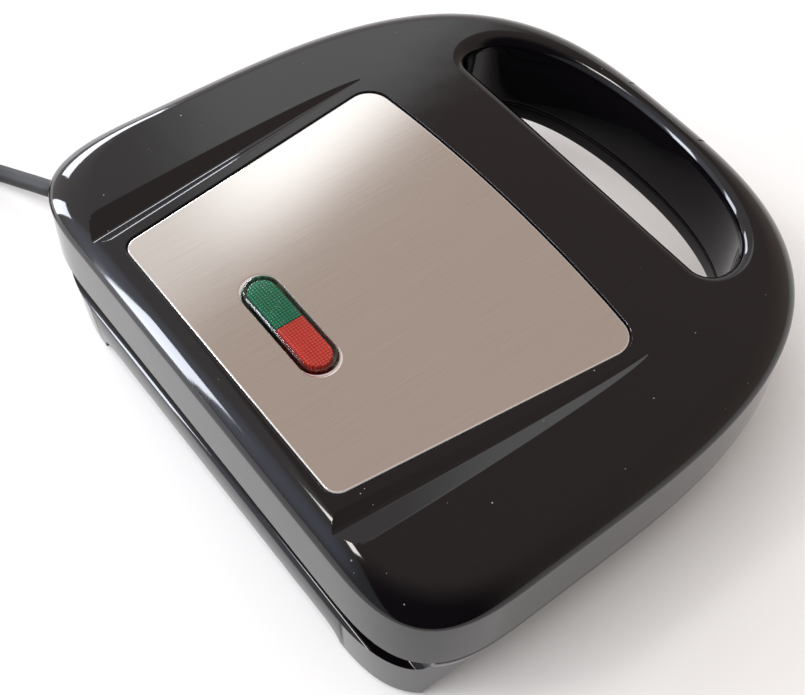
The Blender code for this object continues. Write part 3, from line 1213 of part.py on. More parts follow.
def make_lead():
    path = relief_path(RELIEF_LENGTH, 8)
    radii = [RELIEF_RADIUS + (CORD_RADIUS + 0.0006 - RELIEF_RADIUS) * i / 8 for i in range(9)]
    radii[0] = RELIEF_RADIUS
    add_object("strain_relief", tube_along(path, radii), CORD_PVC)

    end = Vector(path[-1])
    heading = (end - Vector(path[-2])).normalized()
    start = end + heading * FIT_GAP
    route = [start, start + heading * CORD_RADIUS * 2] + [Vector(p) for p in CORD_ROUTE]
    points = smooth_path(route, CORD_RADIUS * 4.5)
    curve_tube("power_cord", points, CORD_RADIUS, CORD_PVC, 2)

    # three turns: two side by side and one on top, inside one turned ring that the lead runs into
    low = TIE_THICKNESS + FIT_GAP + 0.0001
    high = low + CORD_RADIUS * 3.8
    r_in = COIL_RADIUS - CORD_RADIUS * 2
    r_out = COIL_RADIUS + CORD_RADIUS * 2
    away = points[-1] - points[-2]
    away = Vector((away.x, away.y)).normalized()
    turn = math.radians(COIL_TURN)
    reach = CORD_RADIUS * math.sin(turn) + math.sqrt(
        (r_out + FIT_GAP) ** 2 - (CORD_RADIUS * math.cos(turn)) ** 2)
    toward = Matrix.Rotation(turn, 2) @ away
    cx = points[-1].x + toward.x * reach
    cy = points[-1].y + toward.y * reach
    soft = CORD_RADIUS * 0.8
    section = [(r_in + soft, low), (r_out - soft, low), (r_out, low + soft),
               (r_out, low + CORD_RADIUS * 1.8), (COIL_RADIUS + CORD_RADIUS, high),
               (COIL_RADIUS - CORD_RADIUS, high), (r_in, low + CORD_RADIUS * 1.8),
               (r_in, low + soft)]
    bm = bmesh.new()
    steps = 32
    rings = []
    for i in range(steps):
        a = 2 * math.pi * i / steps
        rings.append([bm.verts.new((cx + r * math.cos(a), cy + r * math.sin(a), z))
                      for r, z in section])
    n = len(section)
    for i in range(steps):
        here, there = rings[i], rings[(i + 1) % steps]
        for k in range(n):
            j = (k + 1) % n
            bm.faces.new((here[k], here[j], there[j], there[k]))
    add_object("cord_coil", bm, CORD_PVC)

    # the tie is a flat band round the coil's section, on the side towards the object
    band = TIE_THICKNESS
    gap = FIT_GAP
    outer = [(r_in - gap - band, low - gap - band), (r_out + gap + band, low - gap - band),
             (r_out + gap + band, high + gap + band), (r_in - gap - band, high + gap + band)]
    inner = [(r_in - gap, low - gap), (r_out + gap, low - gap), (r_out + gap, high + gap),
             (r_in - gap, high + gap)]
    bm = bmesh.new()
    rows = [[(cx + side * TIE_WIDTH / 2, cy - r, z) for r, z in outer] for side in (-1, 1)]
    loft(bm, rows)
    tie = add_object("cord_tie", bm, BLACK_INNER)
    bm = bmesh.new()
    rows = [[(cx + side * TIE_WIDTH, cy - r, z) for r, z in inner] for side in (-1, 1)]
    loft(bm, rows)
    boolean(tie, cutter("tie_inside", bm))
    make_plug(cx, cy, r_out)


def make_plug(cx, cy, r_out):
    """Moulded plug with two round pins, lying beside the coil."""
    z = PLUG_HEIGHT / 2 + 0.0004
    x = cx + r_out + FIT_GAP + PLUG_WIDTH / 2
    y0 = cy - PLUG_LENGTH * 0.46
    levels = []
    for share, width, height in ((0.0, 0.30, 0.60), (0.18, 0.42, 0.80), (0.42, 0.86, 0.98),
                                 (0.55, 1.0, 1.0), (0.97, 1.0, 1.0), (1.0, 0.95, 0.92)):
        w = PLUG_WIDTH / 2 * width
        h = PLUG_HEIGHT / 2 * height
        loop = []
        for i in range(20):
            a = 2 * math.pi * i / 20
            c, s = math.cos(a), math.sin(a)
            loop.append((x + w * math.copysign(abs(c) ** 0.6, c), y0 + PLUG_LENGTH * share,
                         z + h * math.copysign(abs(s) ** 0.7, s)))
        levels.append(loop)
    bm = bmesh.new()
    loft(bm, levels)
    add_object("plug_body", bm, CORD_PVC)
    for i, side in enumerate((-1, 1)):
        px = x + side * PLUG_PIN_SPACING / 2
        y1 = y0 + PLUG_LENGTH + FIT_GAP
        loops = []
        for share, radius in ((0.0, 1.0), (0.9, 1.0), (1.0, 0.6)):
            loops.append([(px + cx2, y1 + PLUG_PIN_LENGTH * share, z + cz2)
                          for cx2, cz2 in circle(PLUG_PIN_RADIUS * radius, steps=12)])
        bm = bmesh.new()
        loft(bm, loops)
        add_object("plug_pin_%d" % (i + 1), bm, ZINC)


make_lid()
make_base()
make_pads()
make_hinge_pins()
make_panel()
make_lens()
make_lamp_holder()
make_plate("upper_plate", 1, PARTING_HEIGHT)
make_plate("lower_plate", -1, PARTING_HEIGHT)
make_heater("upper_heater", PARTING_HEIGHT, 1)
make_heater("lower_heater", PARTING_HEIGHT, -1)
make_reflector("upper_reflector", PARTING_HEIGHT, 1)
make_reflector("lower_reflector", PARTING_HEIGHT, -1)
make_thermostat()
for index, (screw_x, screw_y) in enumerate(SCREW_PLACES):
    make_screw("upper_screw_%d" % (index + 1), screw_x, screw_y,
               LID_TOP - PANEL_RECESS - SCREW_HEAD_HEIGHT - FIT_GAP / 2, 1)
    make_screw("lower_screw_%d" % (index + 1), screw_x, screw_y,
               BASE_BOTTOM + SCREW_HEAD_HEIGHT + FIT_GAP / 2, -1)
make_terminals()
make_latch()
make_lead()
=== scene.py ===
import math

import bmesh
import bpy
from mathutils import Matrix, Vector


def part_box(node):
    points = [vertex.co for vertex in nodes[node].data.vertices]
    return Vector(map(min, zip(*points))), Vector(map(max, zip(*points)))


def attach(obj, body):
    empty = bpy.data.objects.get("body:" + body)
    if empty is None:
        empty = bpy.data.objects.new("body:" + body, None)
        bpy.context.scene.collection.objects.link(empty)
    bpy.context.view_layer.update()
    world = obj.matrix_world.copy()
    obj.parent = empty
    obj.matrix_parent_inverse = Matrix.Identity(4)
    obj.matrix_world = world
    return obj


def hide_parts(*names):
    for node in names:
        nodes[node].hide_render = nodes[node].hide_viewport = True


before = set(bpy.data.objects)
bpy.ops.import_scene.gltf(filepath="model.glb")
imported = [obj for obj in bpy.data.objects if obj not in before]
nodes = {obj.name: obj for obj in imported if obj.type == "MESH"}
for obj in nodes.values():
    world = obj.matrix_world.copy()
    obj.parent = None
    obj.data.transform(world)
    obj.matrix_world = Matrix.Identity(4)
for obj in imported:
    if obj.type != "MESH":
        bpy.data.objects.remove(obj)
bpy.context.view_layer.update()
MM = 0.001


# Table and light. A pale matte table in a dim warm room: windows low behind the hinge side and the
# right end, a lit wall beyond the right end, a ceiling lamp and a wide soft light from above.

def linear(code):
    """An sRGB hex colour as linear red, green, blue and one."""
    parts = [int(code[i:i + 2], 16) / 255 for i in (1, 3, 5)]
    return tuple(c / 12.92 if c <= 0.04045 else ((c + 0.055) / 1.055) ** 2.4 for c in parts) + (1.0,)


def put(tree, kind, links=None, **settings):
    """Add a node with its settings; links gives its sockets values or other nodes' outputs."""
    made = tree.nodes.new(kind)
    for name, value in settings.items():
        setattr(made, name, value)
    for key, value in (links or {}).items():
        if isinstance(value, bpy.types.NodeSocket):
            tree.links.new(value, made.inputs[key])
        else:
            made.inputs[key].default_value = value
    return made


def finish_named(name, **values):
    """A new material with its node tree and the shader that its values are set on."""
    mat = bpy.data.materials.new(name)
    mat.use_nodes = True
    tree = mat.node_tree
    shader = tree.nodes["Principled BSDF"]
    for key, value in values.items():
        shader.inputs[key.replace("_", " ")].default_value = value
    return mat, tree, shader


def grained(tree, shader, scale, detail, dark, light, stretch=(1.0, 1.0, 1.0)):
    """Vary the colour between two close tones with a grain, and give the grain back for the bump."""
    place = put(tree, "ShaderNodeTexCoord")
    drawn = put(tree, "ShaderNodeMapping", {"Vector": place.outputs["Object"], "Scale": stretch})
    grain = put(tree, "ShaderNodeTexNoise", {"Vector": drawn.outputs["Vector"], "Scale": scale,
                                             "Detail": detail})
    tone = put(tree, "ShaderNodeValToRGB", {"Fac": grain.outputs["Fac"]})
    tone.color_ramp.elements[0].color = linear(dark)
    tone.color_ramp.elements[1].color = linear(light)
    tree.links.new(tone.outputs["Color"], shader.inputs["Base Color"])
    return grain


table_paint, tree, shader = finish_named("matte_white_table", Roughness=0.62)
grained(tree, shader, 3.0, 3.0, "#f0efed", "#f6f6f5")

bm = bmesh.new()
bmesh.ops.create_grid(bm, x_segments=8, y_segments=8, size=2.6)
mesh = bpy.data.meshes.new("table")
bm.to_mesh(mesh)
bm.free()
mesh.materials.append(table_paint)
table = bpy.data.objects.new("table", mesh)
bpy.context.collection.objects.link(table)

room = bpy.data.worlds.new("room")
room.use_nodes = True
bpy.context.scene.world = room
tree = room.node_tree
sky = tree.nodes["Background"]
place = put(tree, "ShaderNodeTexCoord")


def towards(tree, direction, low, high):
    """A mask that is one in a direction of the room, with a soft edge between the two cosines."""
    dot = put(tree, "ShaderNodeVectorMath", {0: place.outputs["Generated"], 1: direction},
              operation="DOT_PRODUCT")
    edge = {"Value": dot.outputs["Value"], "From Min": low, "From Max": high}
    return put(tree, "ShaderNodeMapRange", edge, interpolation_type="SMOOTHSTEP").outputs["Result"]


def painted(tree, under, mask, colour, strength):
    """Add a lit patch of one colour to what is already there."""
    lit = tuple(c * strength for c in linear(colour)[:3]) + (1.0,)
    return put(tree, "ShaderNodeMix", {0: mask, 6: under, 7: lit}, data_type="RGBA",
               blend_type="ADD").outputs[2]


def aim(azimuth, height):
    """The direction from the object at an azimuth and a height in degrees."""
    turn, rise = math.radians(azimuth), math.radians(height)
    return math.cos(turn) * math.cos(rise), math.sin(turn) * math.cos(rise), math.sin(rise)


# a dim warm ceiling, near black where the viewer stands, and a daylit wall at the right whose
# brightest part stands beyond the handle's end
viewer = towards(tree, aim(132, 12), 0.20, 0.72)
shade = put(tree, "ShaderNodeMix", {0: viewer, 6: linear("#bcada4"), 7: linear("#393536")},
            data_type="RGBA").outputs[2]
wall = towards(tree, (0.8156, 0.2471, -0.5232), -0.04, 0.03)
shade = painted(tree, shade, wall, "#eefaff", 0.42)
near_end = put(tree, "ShaderNodeMath", {0: wall, 1: towards(tree, aim(-38, 41), 0.974, 0.994)},
               operation="MULTIPLY").outputs["Value"]
shade = painted(tree, shade, near_end, "#f4fbff", 0.95)
shade = painted(tree, shade, towards(tree, aim(55, 20), 0.92, 1.0), "#c3d2ff", 0.9)
tree.links.new(shade, sky.inputs["Color"])
sky.inputs["Strength"].default_value = 1.0


def lamp(name, azimuth, height, distance, width, depth, radiance, tint, glossy=True):
    """A flat lamp in a direction from the object in degrees, of an even brightness."""
    data = bpy.data.lights.new(name, "AREA")
    data.shape = "RECTANGLE"
    data.size = width
    data.size_y = depth
    data.energy = radiance * math.pi * width * depth
    data.color = linear(tint)[:3]
    obj = bpy.data.objects.new(name, data)
    way = Vector(aim(azimuth, height))
    obj.location = way * distance
    obj.rotation_euler = way.to_track_quat("Z", "Y").to_euler()
    obj.visible_glossy = glossy
    bpy.context.collection.objects.link(obj)


lamp("window_behind", 56.0, 13.0, 2.0, 0.24, 0.82, 20.0, "#eef4ff")
lamp("window_right", -3.0, 15.0, 2.0, 0.85, 0.42, 14.0, "#eef3ff")
lamp("window_corner", 32.0, 9.0, 2.0, 0.36, 0.95, 17.0, "#eef3ff")
lamp("ceiling_lamp", 63.0, 51.0, 2.2, 0.34, 0.26, 20.0, "#fffdf8")
lamp("soft_fill", 96.0, 64.0, 2.4, 2.0, 2.0, 3.6, "#fbfcff", glossy=False)

# The camera looks down at 57 degrees from the back left, rolled a little to the right.
eye = bpy.data.objects.new("camera", bpy.data.cameras.new("camera"))
eye.location = (-0.20541, 0.19077, 0.38814)
eye.rotation_euler = (0.572932, -0.063123, -2.252405)
eye.data.sensor_fit = "HORIZONTAL"
eye.data.sensor_width = 36.0
eye.data.lens = 36.0 * 1200 / 805
eye.data.shift_x = -59.1 / 805
eye.data.shift_y = 58.2 / 805
bpy.context.collection.objects.link(eye)
bpy.context.scene.camera = eye
bpy.context.scene.view_settings.view_transform = "Standard"


# Mains lead. A round black PVC lead, 7 mm thick, that leaves the base's right end through a
# tapered relief, drops to the table and is wound into a tied coil with its plug beside it.

CORD_RADIUS = 3.5
RELIEF_START = (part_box("strain_relief")[0][0] / MM, 82.0, 20.0)
RELIEF_LENGTH = 21.5
ROUTE = ((146.0, 89.0, 17.6), (158.0, 92.8, 13.2), (172.0, 97.6, 8.6),
         (188.0, 104.9, 5.6), (205.0, 112.5, 5.1), (220.0, 118.0, 5.1))


def smooth_path(points, step):
    """Points about step apart on a smooth curve through the given points."""
    pts = [Vector(p) for p in points]
    pts = [pts[0] * 2 - pts[1]] + pts + [pts[-1] * 2 - pts[-2]]
    out = [pts[1]]
    for a, b, c, d in zip(pts, pts[1:], pts[2:], pts[3:]):
        pieces = max(1, round((c - b).length / step))
        for k in range(1, pieces + 1):
            t = k / pieces
            out.append(0.5 * (2 * b + (c - a) * t + (2 * a - 5 * b + 4 * c - d) * t * t
                              + (3 * b - a - 3 * c + d) * t ** 3))
    return out


def relief_line(count):
    x0, y0, z0 = RELIEF_START
    steps = [RELIEF_LENGTH * i / count for i in range(count + 1)]
    return [Vector((x0 + x, y0 + 0.0058 * x * x, z0 - 0.0012 * x * x)) for x in steps]


def ease(t):
    t = min(max(t, 0.0), 1.0)
    return t * t * (3 - 2 * t)


line = relief_line(8)
heading = (line[-1] - line[-2]).normalized()
start = line[-1] + heading * 0.3
ENTRY_ANGLE, ENTRY_RADIUS = 272.0, 46.2
low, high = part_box("cord_coil")
coil_x = (low[0] + high[0]) / 2 / MM
coil_y = (low[1] + high[1]) / 2 / MM
ground = low[2] / MM + CORD_RADIUS

# an outer and an inner turn side by side, then a turn that lies on both and leaves for the plug
turns = []
for i in range(66):
    degrees = 312.0 + (1380.0 - 312.0) * i / 65
    inward = ease((degrees - 572.0) / 60.0)
    climb = ease((degrees - 884.0) / 58.0)
    settle = ease((degrees - 1012.0) / 60.0)
    outward = ease((degrees - 1245.0) / 65.0)
    radius = 43.5 - 7.0 * inward + 3.5 * settle + 3.9 * outward
    rise = 7.1 * climb - 0.95 * settle + 0.95 * outward
    a = math.radians(degrees)
    turns.append((coil_x + radius * math.cos(a), coil_y + radius * math.sin(a), ground + rise))
plug_x = coil_x + 47.0 + 0.3 + 15.0
plug_tail = Vector((plug_x, coil_y - 18.4, 7.15))
last = Vector(turns[-1])
p1 = last + Vector((13.0, 7.5, 1.9))
p2 = plug_tail + Vector((0.0, -13.5, 0.6))
p3 = plug_tail + Vector((0.0, 1.5, 0.0))
tail = []
for i in range(1, 9):
    t = i / 8
    tail.append(last * (1 - t) ** 3 + p1 * 3 * t * (1 - t) ** 2 + p2 * 3 * t * t * (1 - t) + p3 * t ** 3)
a = math.radians(ENTRY_ANGLE)
entry = Vector((coil_x + ENTRY_RADIUS * math.cos(a), coil_y + ENTRY_RADIUS * math.sin(a), ground))
route = [start, start + heading * 2 * CORD_RADIUS] + [Vector(p) for p in ROUTE] + [entry]
route += [Vector(p) for p in turns] + tail
lead_points = smooth_path(route, 2.2)

# PVC, extruded: even black with a soft sheen and faint drag lines along its length
lead_pvc, tree, shader = finish_named("extruded_black_pvc", Roughness=0.6, IOR=1.50)
grain = grained(tree, shader, 900.0, 2.0, "#060607", "#0e0e10")
bump = put(tree, "ShaderNodeBump", {"Height": grain.outputs["Fac"], "Strength": 0.12, "Distance": 0.0002})
tree.links.new(bump.outputs["Normal"], shader.inputs["Normal"])


def curve_piece(name, points, radius, mat, sides=7):
    """A round tube on one open spline, with filled ends."""
    data = bpy.data.curves.new(name, "CURVE")
    data.dimensions = "3D"
    data.bevel_depth = radius * MM
    data.bevel_resolution = sides
    data.use_fill_caps = True
    spline = data.splines.new("POLY")
    spline.points.add(len(points) - 1)
    for point, spot in zip(spline.points, points):
        point.co = (*(Vector(spot) * MM), 1.0)
    spline.use_smooth = True
    data.materials.append(mat)
    obj = bpy.data.objects.new(name, data)
    bpy.context.collection.objects.link(obj)
    return obj


lead = curve_piece("mains_lead", lead_points, CORD_RADIUS, lead_pvc)


def mesh_piece(name, bm, mats, sharp=35.0):
    """A mesh object from a bmesh in millimetres, with outward faces and smooth shading."""
    bmesh.ops.remove_doubles(bm, verts=bm.verts, dist=1e-5)
    bmesh.ops.recalc_face_normals(bm, faces=bm.faces)
    bm.transform(Matrix.Scale(MM, 4))
    data = bpy.data.meshes.new(name)
    bm.to_mesh(data)
    bm.free()
    for mat in mats if isinstance(mats, (list, tuple)) else [mats]:
        data.materials.append(mat)
    data.shade_smooth()
    data.set_sharp_from_angle(angle=math.radians(sharp))
    obj = bpy.data.objects.new(name, data)
    bpy.context.collection.objects.link(obj)
    return obj


def loft(bm, loops, cap=True):
    """Skin closed loops of points, all with the same number of points."""
    rows = [[bm.verts.new(p) for p in loop] for loop in loops]
    count = len(rows[0])
    for low_row, high_row in zip(rows, rows[1:]):
        for i in range(count):
            j = (i + 1) % count
            bm.faces.new((low_row[i], low_row[j], high_row[j], high_row[i]))
    if cap:
        bm.faces.new(list(reversed(rows[0])))
        bm.faces.new(rows[-1])
    return rows


def sleeve(bm, line, radii, steps=28):
    """A closed round tube of changing radius along a line."""
    loops = []
    for i, (spot, r) in enumerate(zip(line, radii)):
        ahead = (line[min(i + 1, len(line) - 1)] - line[max(i - 1, 0)]).normalized()
        across = ahead.cross(Vector((0, 0, 1))).normalized()
        up = across.cross(ahead)
        loops.append([spot + across * (r * math.cos(2 * math.pi * k / steps))
                      + up * (r * math.sin(2 * math.pi * k / steps)) for k in range(steps)])
    loft(bm, loops)


# the relief has ring-shaped cuts that let it bend, and a bead where it meets the wall
bm = bmesh.new()
line = relief_line(130)
radii = []
for i in range(131):
    s = i / 130
    r = 6.0 + (4.1 - 6.0) * s
    if 0.16 < s < 0.90:
        r -= 0.55 * max(0.0, math.cos((s - 0.16) / 0.74 * 7 * 2 * math.pi) * -1) ** 0.6
    radii.append(min(r, 6.0 - 0.5 * max(0.0, 1 - i / 3)))
sleeve(bm, line, radii)
relief = mesh_piece("strain_relief_boot", bm, lead_pvc, 50.0)
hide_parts("strain_relief")
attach(relief, "base")

# moulded plug: a flat body with finger grooves, and two round pins with rounded ends
bm = bmesh.new()
levels = []
plug_length = 40.0
for i in range(61):
    s = i / 60
    width = 15.0 * (0.30 + 0.70 * ease((s - 0.06) / 0.50))
    height = 6.75 * (0.60 + 0.40 * ease(s / 0.42))
    if s < 0.17:
        width = 4.6 + (width - 4.6) * ease(s / 0.17)
        height = 4.2 + (height - 4.2) * ease(s / 0.17)
    if 0.30 < s < 0.56:
        width -= 0.5 * (0.5 - 0.5 * math.cos((s - 0.30) / 0.26 * 4 * 2 * math.pi))
    if s > 0.96:
        width -= 0.9 * ((s - 0.96) / 0.04) ** 2
        height -= 0.9 * ((s - 0.96) / 0.04) ** 2
    loop = []
    for k in range(48):
        a = 2 * math.pi * k / 48
        c, q = math.cos(a), math.sin(a)
        loop.append((plug_x + width * math.copysign(abs(c) ** 0.62, c),
                     plug_tail.y + plug_length * s,
                     7.15 + height * math.copysign(abs(q) ** 0.72, q)))
    levels.append(loop)
loft(bm, levels)
plug = mesh_piece("moulded_plug", bm, lead_pvc, 50.0)
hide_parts("plug_body")
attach(plug, "base")

# nickel-plated brass, turned: bright and slightly warm
pin_nickel, tree, shader = finish_named("nickel_plated_brass", Metallic=1.0, Roughness=0.18)
shader.inputs["Base Color"].default_value = linear("#c9c4ba")
for i, side in enumerate((-1, 1)):
    bm = bmesh.new()
    loops = []
    front = plug_tail.y + plug_length + 0.3
    for along, r in ((0, 2.4), (0.1, 2.4), (16.4, 2.4), (17.4, 2.25), (18.2, 1.9), (18.8, 1.3),
                     (19.0, 0.7)):
        loops.append([(plug_x + side * 9.5 + r * math.cos(2 * math.pi * k / 24), front + along,
                       7.15 + r * math.sin(2 * math.pi * k / 24)) for k in range(24)])
    loft(bm, loops)
    pin = mesh_piece("plug_contact_%d" % (i + 1), bm, pin_nickel)
    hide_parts("plug_pin_%d" % (i + 1))
    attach(pin, "base")

# the tie is a flat plastic-covered wire wrapped round the two lower turns
tie_low, tie_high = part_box("cord_tie")
TIE_FROM_CENTRE = 40.0
tie_side = 1 if (tie_low[1] + tie_high[1]) / 2 / MM > coil_y else -1
tie_pvc, tree, shader = finish_named("pvc_covered_wire", Roughness=0.5)
shader.inputs["Base Color"].default_value = linear("#151416")
bm = bmesh.new()
loops = []
for half_width in (-3.0, 3.0):
    for grow in ((0.30, 0.75) if half_width < 0 else (0.75, 0.30)):
        loop = []
        for k in range(40):
            a = 2 * math.pi * k / 40
            c, q = math.cos(a), math.sin(a)
            across = (2 * CORD_RADIUS + grow) * math.copysign(abs(c) ** 0.6, c)
            upright = (CORD_RADIUS + min(grow, 0.62)) * math.copysign(abs(q) ** 0.6, q)
            loop.append((coil_x + half_width, coil_y + tie_side * TIE_FROM_CENTRE + across,
                         ground + upright))
        loops.append(loop)
loft(bm, loops + [loops[0]], cap=False)
tie = mesh_piece("coil_tie", bm, tie_pvc)
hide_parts("cord_tie")
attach(tie, "base")

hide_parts("power_cord", "cord_coil")
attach(lead, "base")


# Base housing. A high-gloss black ABS moulding: a tub that stands on four moulded corner feet,
# the rim band that follows the lid's outline, and the lower half of the handle.

HALF_WIDTH = 117.6
FRONT, BACK = -109.3, 109.3
WIDEST_Y = 42.3
LID_TOP, LID_BOTTOM = 70.0, 38.3
BASE_TOP, BAND_BOTTOM = 37.7, 29.7
BASE_BOTTOM, FOOT_BOTTOM = 10.0, 1.5
TUB_FRONT = -52.7
WALL, LIP = 2.5, 1.2
# how far a tool reaches when it has to pass both ends
BEYOND = 130.0
HINGE = Vector((0.0, 99.8, 39.0))
HINGE_X = 75.0

# Injection-moulded ABS, black with a violet cast: near-mirror gloss with a slow waviness from the
# mould and cooling, faint hazing from wiping, and a few bright specks of dust
gloss_abs, tree, shader = finish_named("gloss_black_abs", IOR=1.48)
place = put(tree, "ShaderNodeTexCoord")
smear = put(tree, "ShaderNodeTexNoise", {"Vector": place.outputs["Object"], "Scale": 26.0, "Detail": 4.0,
                                         "Roughness": 0.6})
haze = put(tree, "ShaderNodeMapRange", {"Value": smear.outputs["Fac"], "From Min": 0.42, "From Max": 0.75,
                                        "To Min": 0.05, "To Max": 0.11})
tree.links.new(haze.outputs["Result"], shader.inputs["Roughness"])
specks = put(tree, "ShaderNodeTexVoronoi", {"Vector": place.outputs["Object"], "Scale": 260.0,
                                            "Randomness": 1.0})
sizes = put(tree, "ShaderNodeTexNoise", {"Vector": place.outputs["Object"], "Scale": 70.0, "Detail": 1.0})
wide = put(tree, "ShaderNodeMapRange", {"Value": sizes.outputs["Fac"], "From Min": 0.48, "From Max": 0.72,
                                        "To Min": 0.0, "To Max": 0.085})
dot = put(tree, "ShaderNodeMath", {0: specks.outputs["Distance"], 1: wide.outputs["Result"]},
          operation="LESS_THAN")
upward = put(tree, "ShaderNodeNewGeometry")
facing = put(tree, "ShaderNodeSeparateXYZ", {"Vector": upward.outputs["Normal"]})
lying = put(tree, "ShaderNodeMapRange", {"Value": facing.outputs["Z"], "From Min": 0.6, "From Max": 0.9,
                                         "To Min": 0.0, "To Max": 0.75})
dust = put(tree, "ShaderNodeMath", {0: dot.outputs["Value"], 1: lying.outputs["Result"]},
           operation="MULTIPLY")
colour = put(tree, "ShaderNodeMix", {0: dust.outputs["Value"], 6: linear("#09070a"), 7: linear("#a7a09c")},
             data_type="RGBA")
tree.links.new(colour.outputs[2], shader.inputs["Base Color"])
wave = put(tree, "ShaderNodeTexNoise", {"Vector": place.outputs["Object"], "Scale": 55.0, "Detail": 1.0})
bump = put(tree, "ShaderNodeBump", {"Height": wave.outputs["Fac"], "Strength": 0.10, "Distance": 0.0006})
tree.links.new(bump.outputs["Normal"], shader.inputs["Normal"])


def evenly(points, count):
    """Spread a closed outline into count points at even distances, from its first point on."""
    ring = [Vector(p) for p in points] + [Vector(points[0])]
    marks = [0.0]
    for a, b in zip(ring, ring[1:]):
        marks.append(marks[-1] + (b - a).length)
    out, k = [], 0
    for i in range(count):
        want = marks[-1] * i / count
        while marks[k + 1] < want:
            k += 1
        t = (want - marks[k]) / (marks[k + 1] - marks[k])
        p = ring[k].lerp(ring[k + 1], t)
        out.append((p.x, p.y))
    return out


def mirrored(half):
    return half + [(-x, y) for x, y in reversed(half) if x > 1e-4]


def bowed_outline(side, front, back, power, corner=48.5, count=300, square=3.4):
    """A bowed front and rounded back corners; side, front and back are where the edges stand."""
    half = []
    for i in range(160):
        t = (i / 159) ** 1.25 * math.pi / 2
        half.append((side * math.sin(t) ** (2 / power),
                     WIDEST_Y - (WIDEST_Y - front) * max(math.cos(t), 0.0) ** (2 / power)))
    for i in range(1, 121):
        t = i / 120 * math.pi / 2
        half.append((side - corner + corner * max(math.cos(t), 0.0) ** (2 / square),
                     back - corner + corner * math.sin(t) ** (2 / square)))
    return evenly(mirrored(half), count)


def rim_outline(inset, count=300, soften=0.0):
    return bowed_outline(HALF_WIDTH - inset, FRONT + inset, BACK - inset, 3.0,
                         48.5 - inset + 5.0 * soften, count, 3.4 - 0.9 * soften)


def tub_outline(inset, count=300):
    return bowed_outline(HALF_WIDTH - 2.5 - inset, TUB_FRONT + inset, BACK - 0.2 - inset, 4.2,
                         48.5 - inset, count)


def slot_outline(grow, count=170):
    """The half-moon finger slot."""
    a, front, inner, ends = 69.2 + grow, -96.0 - grow, -56.2 + grow, -65.2
    corner, bow = 7.5 + grow, 2 / 2.15
    half = []
    for i in range(120):
        t = i / 119 * math.pi / 2
        half.append((a * math.sin(t) ** bow, ends - (ends - front) * max(math.cos(t), 0.0) ** bow))
    for i in range(1, 40):
        t = i / 39 * math.pi / 2
        half.append((a - corner + corner * math.cos(t), ends + (inner - ends) * math.sin(t)))
    return evenly(mirrored(half), count)


def level(outline, z):
    return [(x, y, z) for x, y in outline]


def box_loops(x0, x1, y0, y1, z0, z1):
    ring = [(x0, y0), (x1, y0), (x1, y1), (x0, y1)]
    return [level(ring, z0), level(ring, z1)]


def tool(loops):
    """A closed shape in millimetres that cuts another one."""
    bm = bmesh.new()
    loft(bm, loops)
    obj = mesh_piece("tool", bm, [])
    obj.hide_render = True
    return obj


def across_x(profile, x0, x1):
    return [[(x0, y, z) for y, z in profile], [(x1, y, z) for y, z in profile]]


def across_y(profile, y0, y1):
    return [[(x, y0, z) for x, z in profile], [(x, y1, z) for x, z in profile]]


def circle(radius, x=0.0, y=0.0, steps=32):
    return [(x + radius * math.cos(2 * math.pi * i / steps), y + radius * math.sin(2 * math.pi * i / steps))
            for i in range(steps)]


def carve(obj, steps):
    """Cut or add each tool in turn; the cut mesh replaces the object's own."""
    for operation, cutters in steps:
        for cutter in cutters:
            mod = obj.modifiers.new("carve", "BOOLEAN")
            mod.object = cutter
            mod.operation = operation
            mod.solver = "EXACT"
    dg = bpy.context.evaluated_depsgraph_get()
    done = bpy.data.meshes.new_from_object(obj.evaluated_get(dg))
    obj.modifiers.clear()
    obj.data = done
    for operation, cutters in steps:
        for cutter in cutters:
            bpy.data.objects.remove(cutter)
    return obj


def smooth_faces(obj, angle=32.0):
    """Shade by face area, so that flat faces stay flat beside their rounded edges."""
    obj.data.shade_smooth()
    obj.data.set_sharp_from_angle(angle=math.radians(angle))
    mod = obj.modifiers.new("shade", "WEIGHTED_NORMAL")
    mod.keep_sharp = True
    mod.weight = 60
    dg = bpy.context.evaluated_depsgraph_get()
    done = bpy.data.meshes.new_from_object(obj.evaluated_get(dg))
    obj.modifiers.clear()
    obj.data = done
    return obj


def arch(half, low_z, high_z, radius):
    """An arched opening, flared below and rounded above."""
    pts = [(half + radius, low_z), (half, high_z - radius)]
    for i in range(1, 13):
        a = math.pi / 2 * i / 12
        pts.append((half - radius + radius * math.cos(a), high_z - radius + radius * math.sin(a)))
    return pts + [(-x, z) for x, z in reversed(pts)]


bm = bmesh.new()
loft(bm, [level(tub_outline(2.4), FOOT_BOTTOM), level(tub_outline(1.7), FOOT_BOTTOM + 0.25),
          level(tub_outline(1.3), FOOT_BOTTOM + 0.8), level(tub_outline(1.1), FOOT_BOTTOM + 1.8),
          level(tub_outline(0.0), 30.7)])
base = mesh_piece("base_moulding", bm, gloss_abs)

band_levels = []
for z, inset in ((0.0, 3.0), (0.15, 2.5), (0.5, 2.05), (1.0, 1.7), (2.4, 1.1), (4.0, 0.65),
                 (5.6, 0.35), (7.0, 0.25), (7.45, 0.25), (7.8, 0.45), (8.0, 0.9)):
    band_levels.append(level(rim_outline(inset), BAND_BOTTOM + z))
band = tool(band_levels)

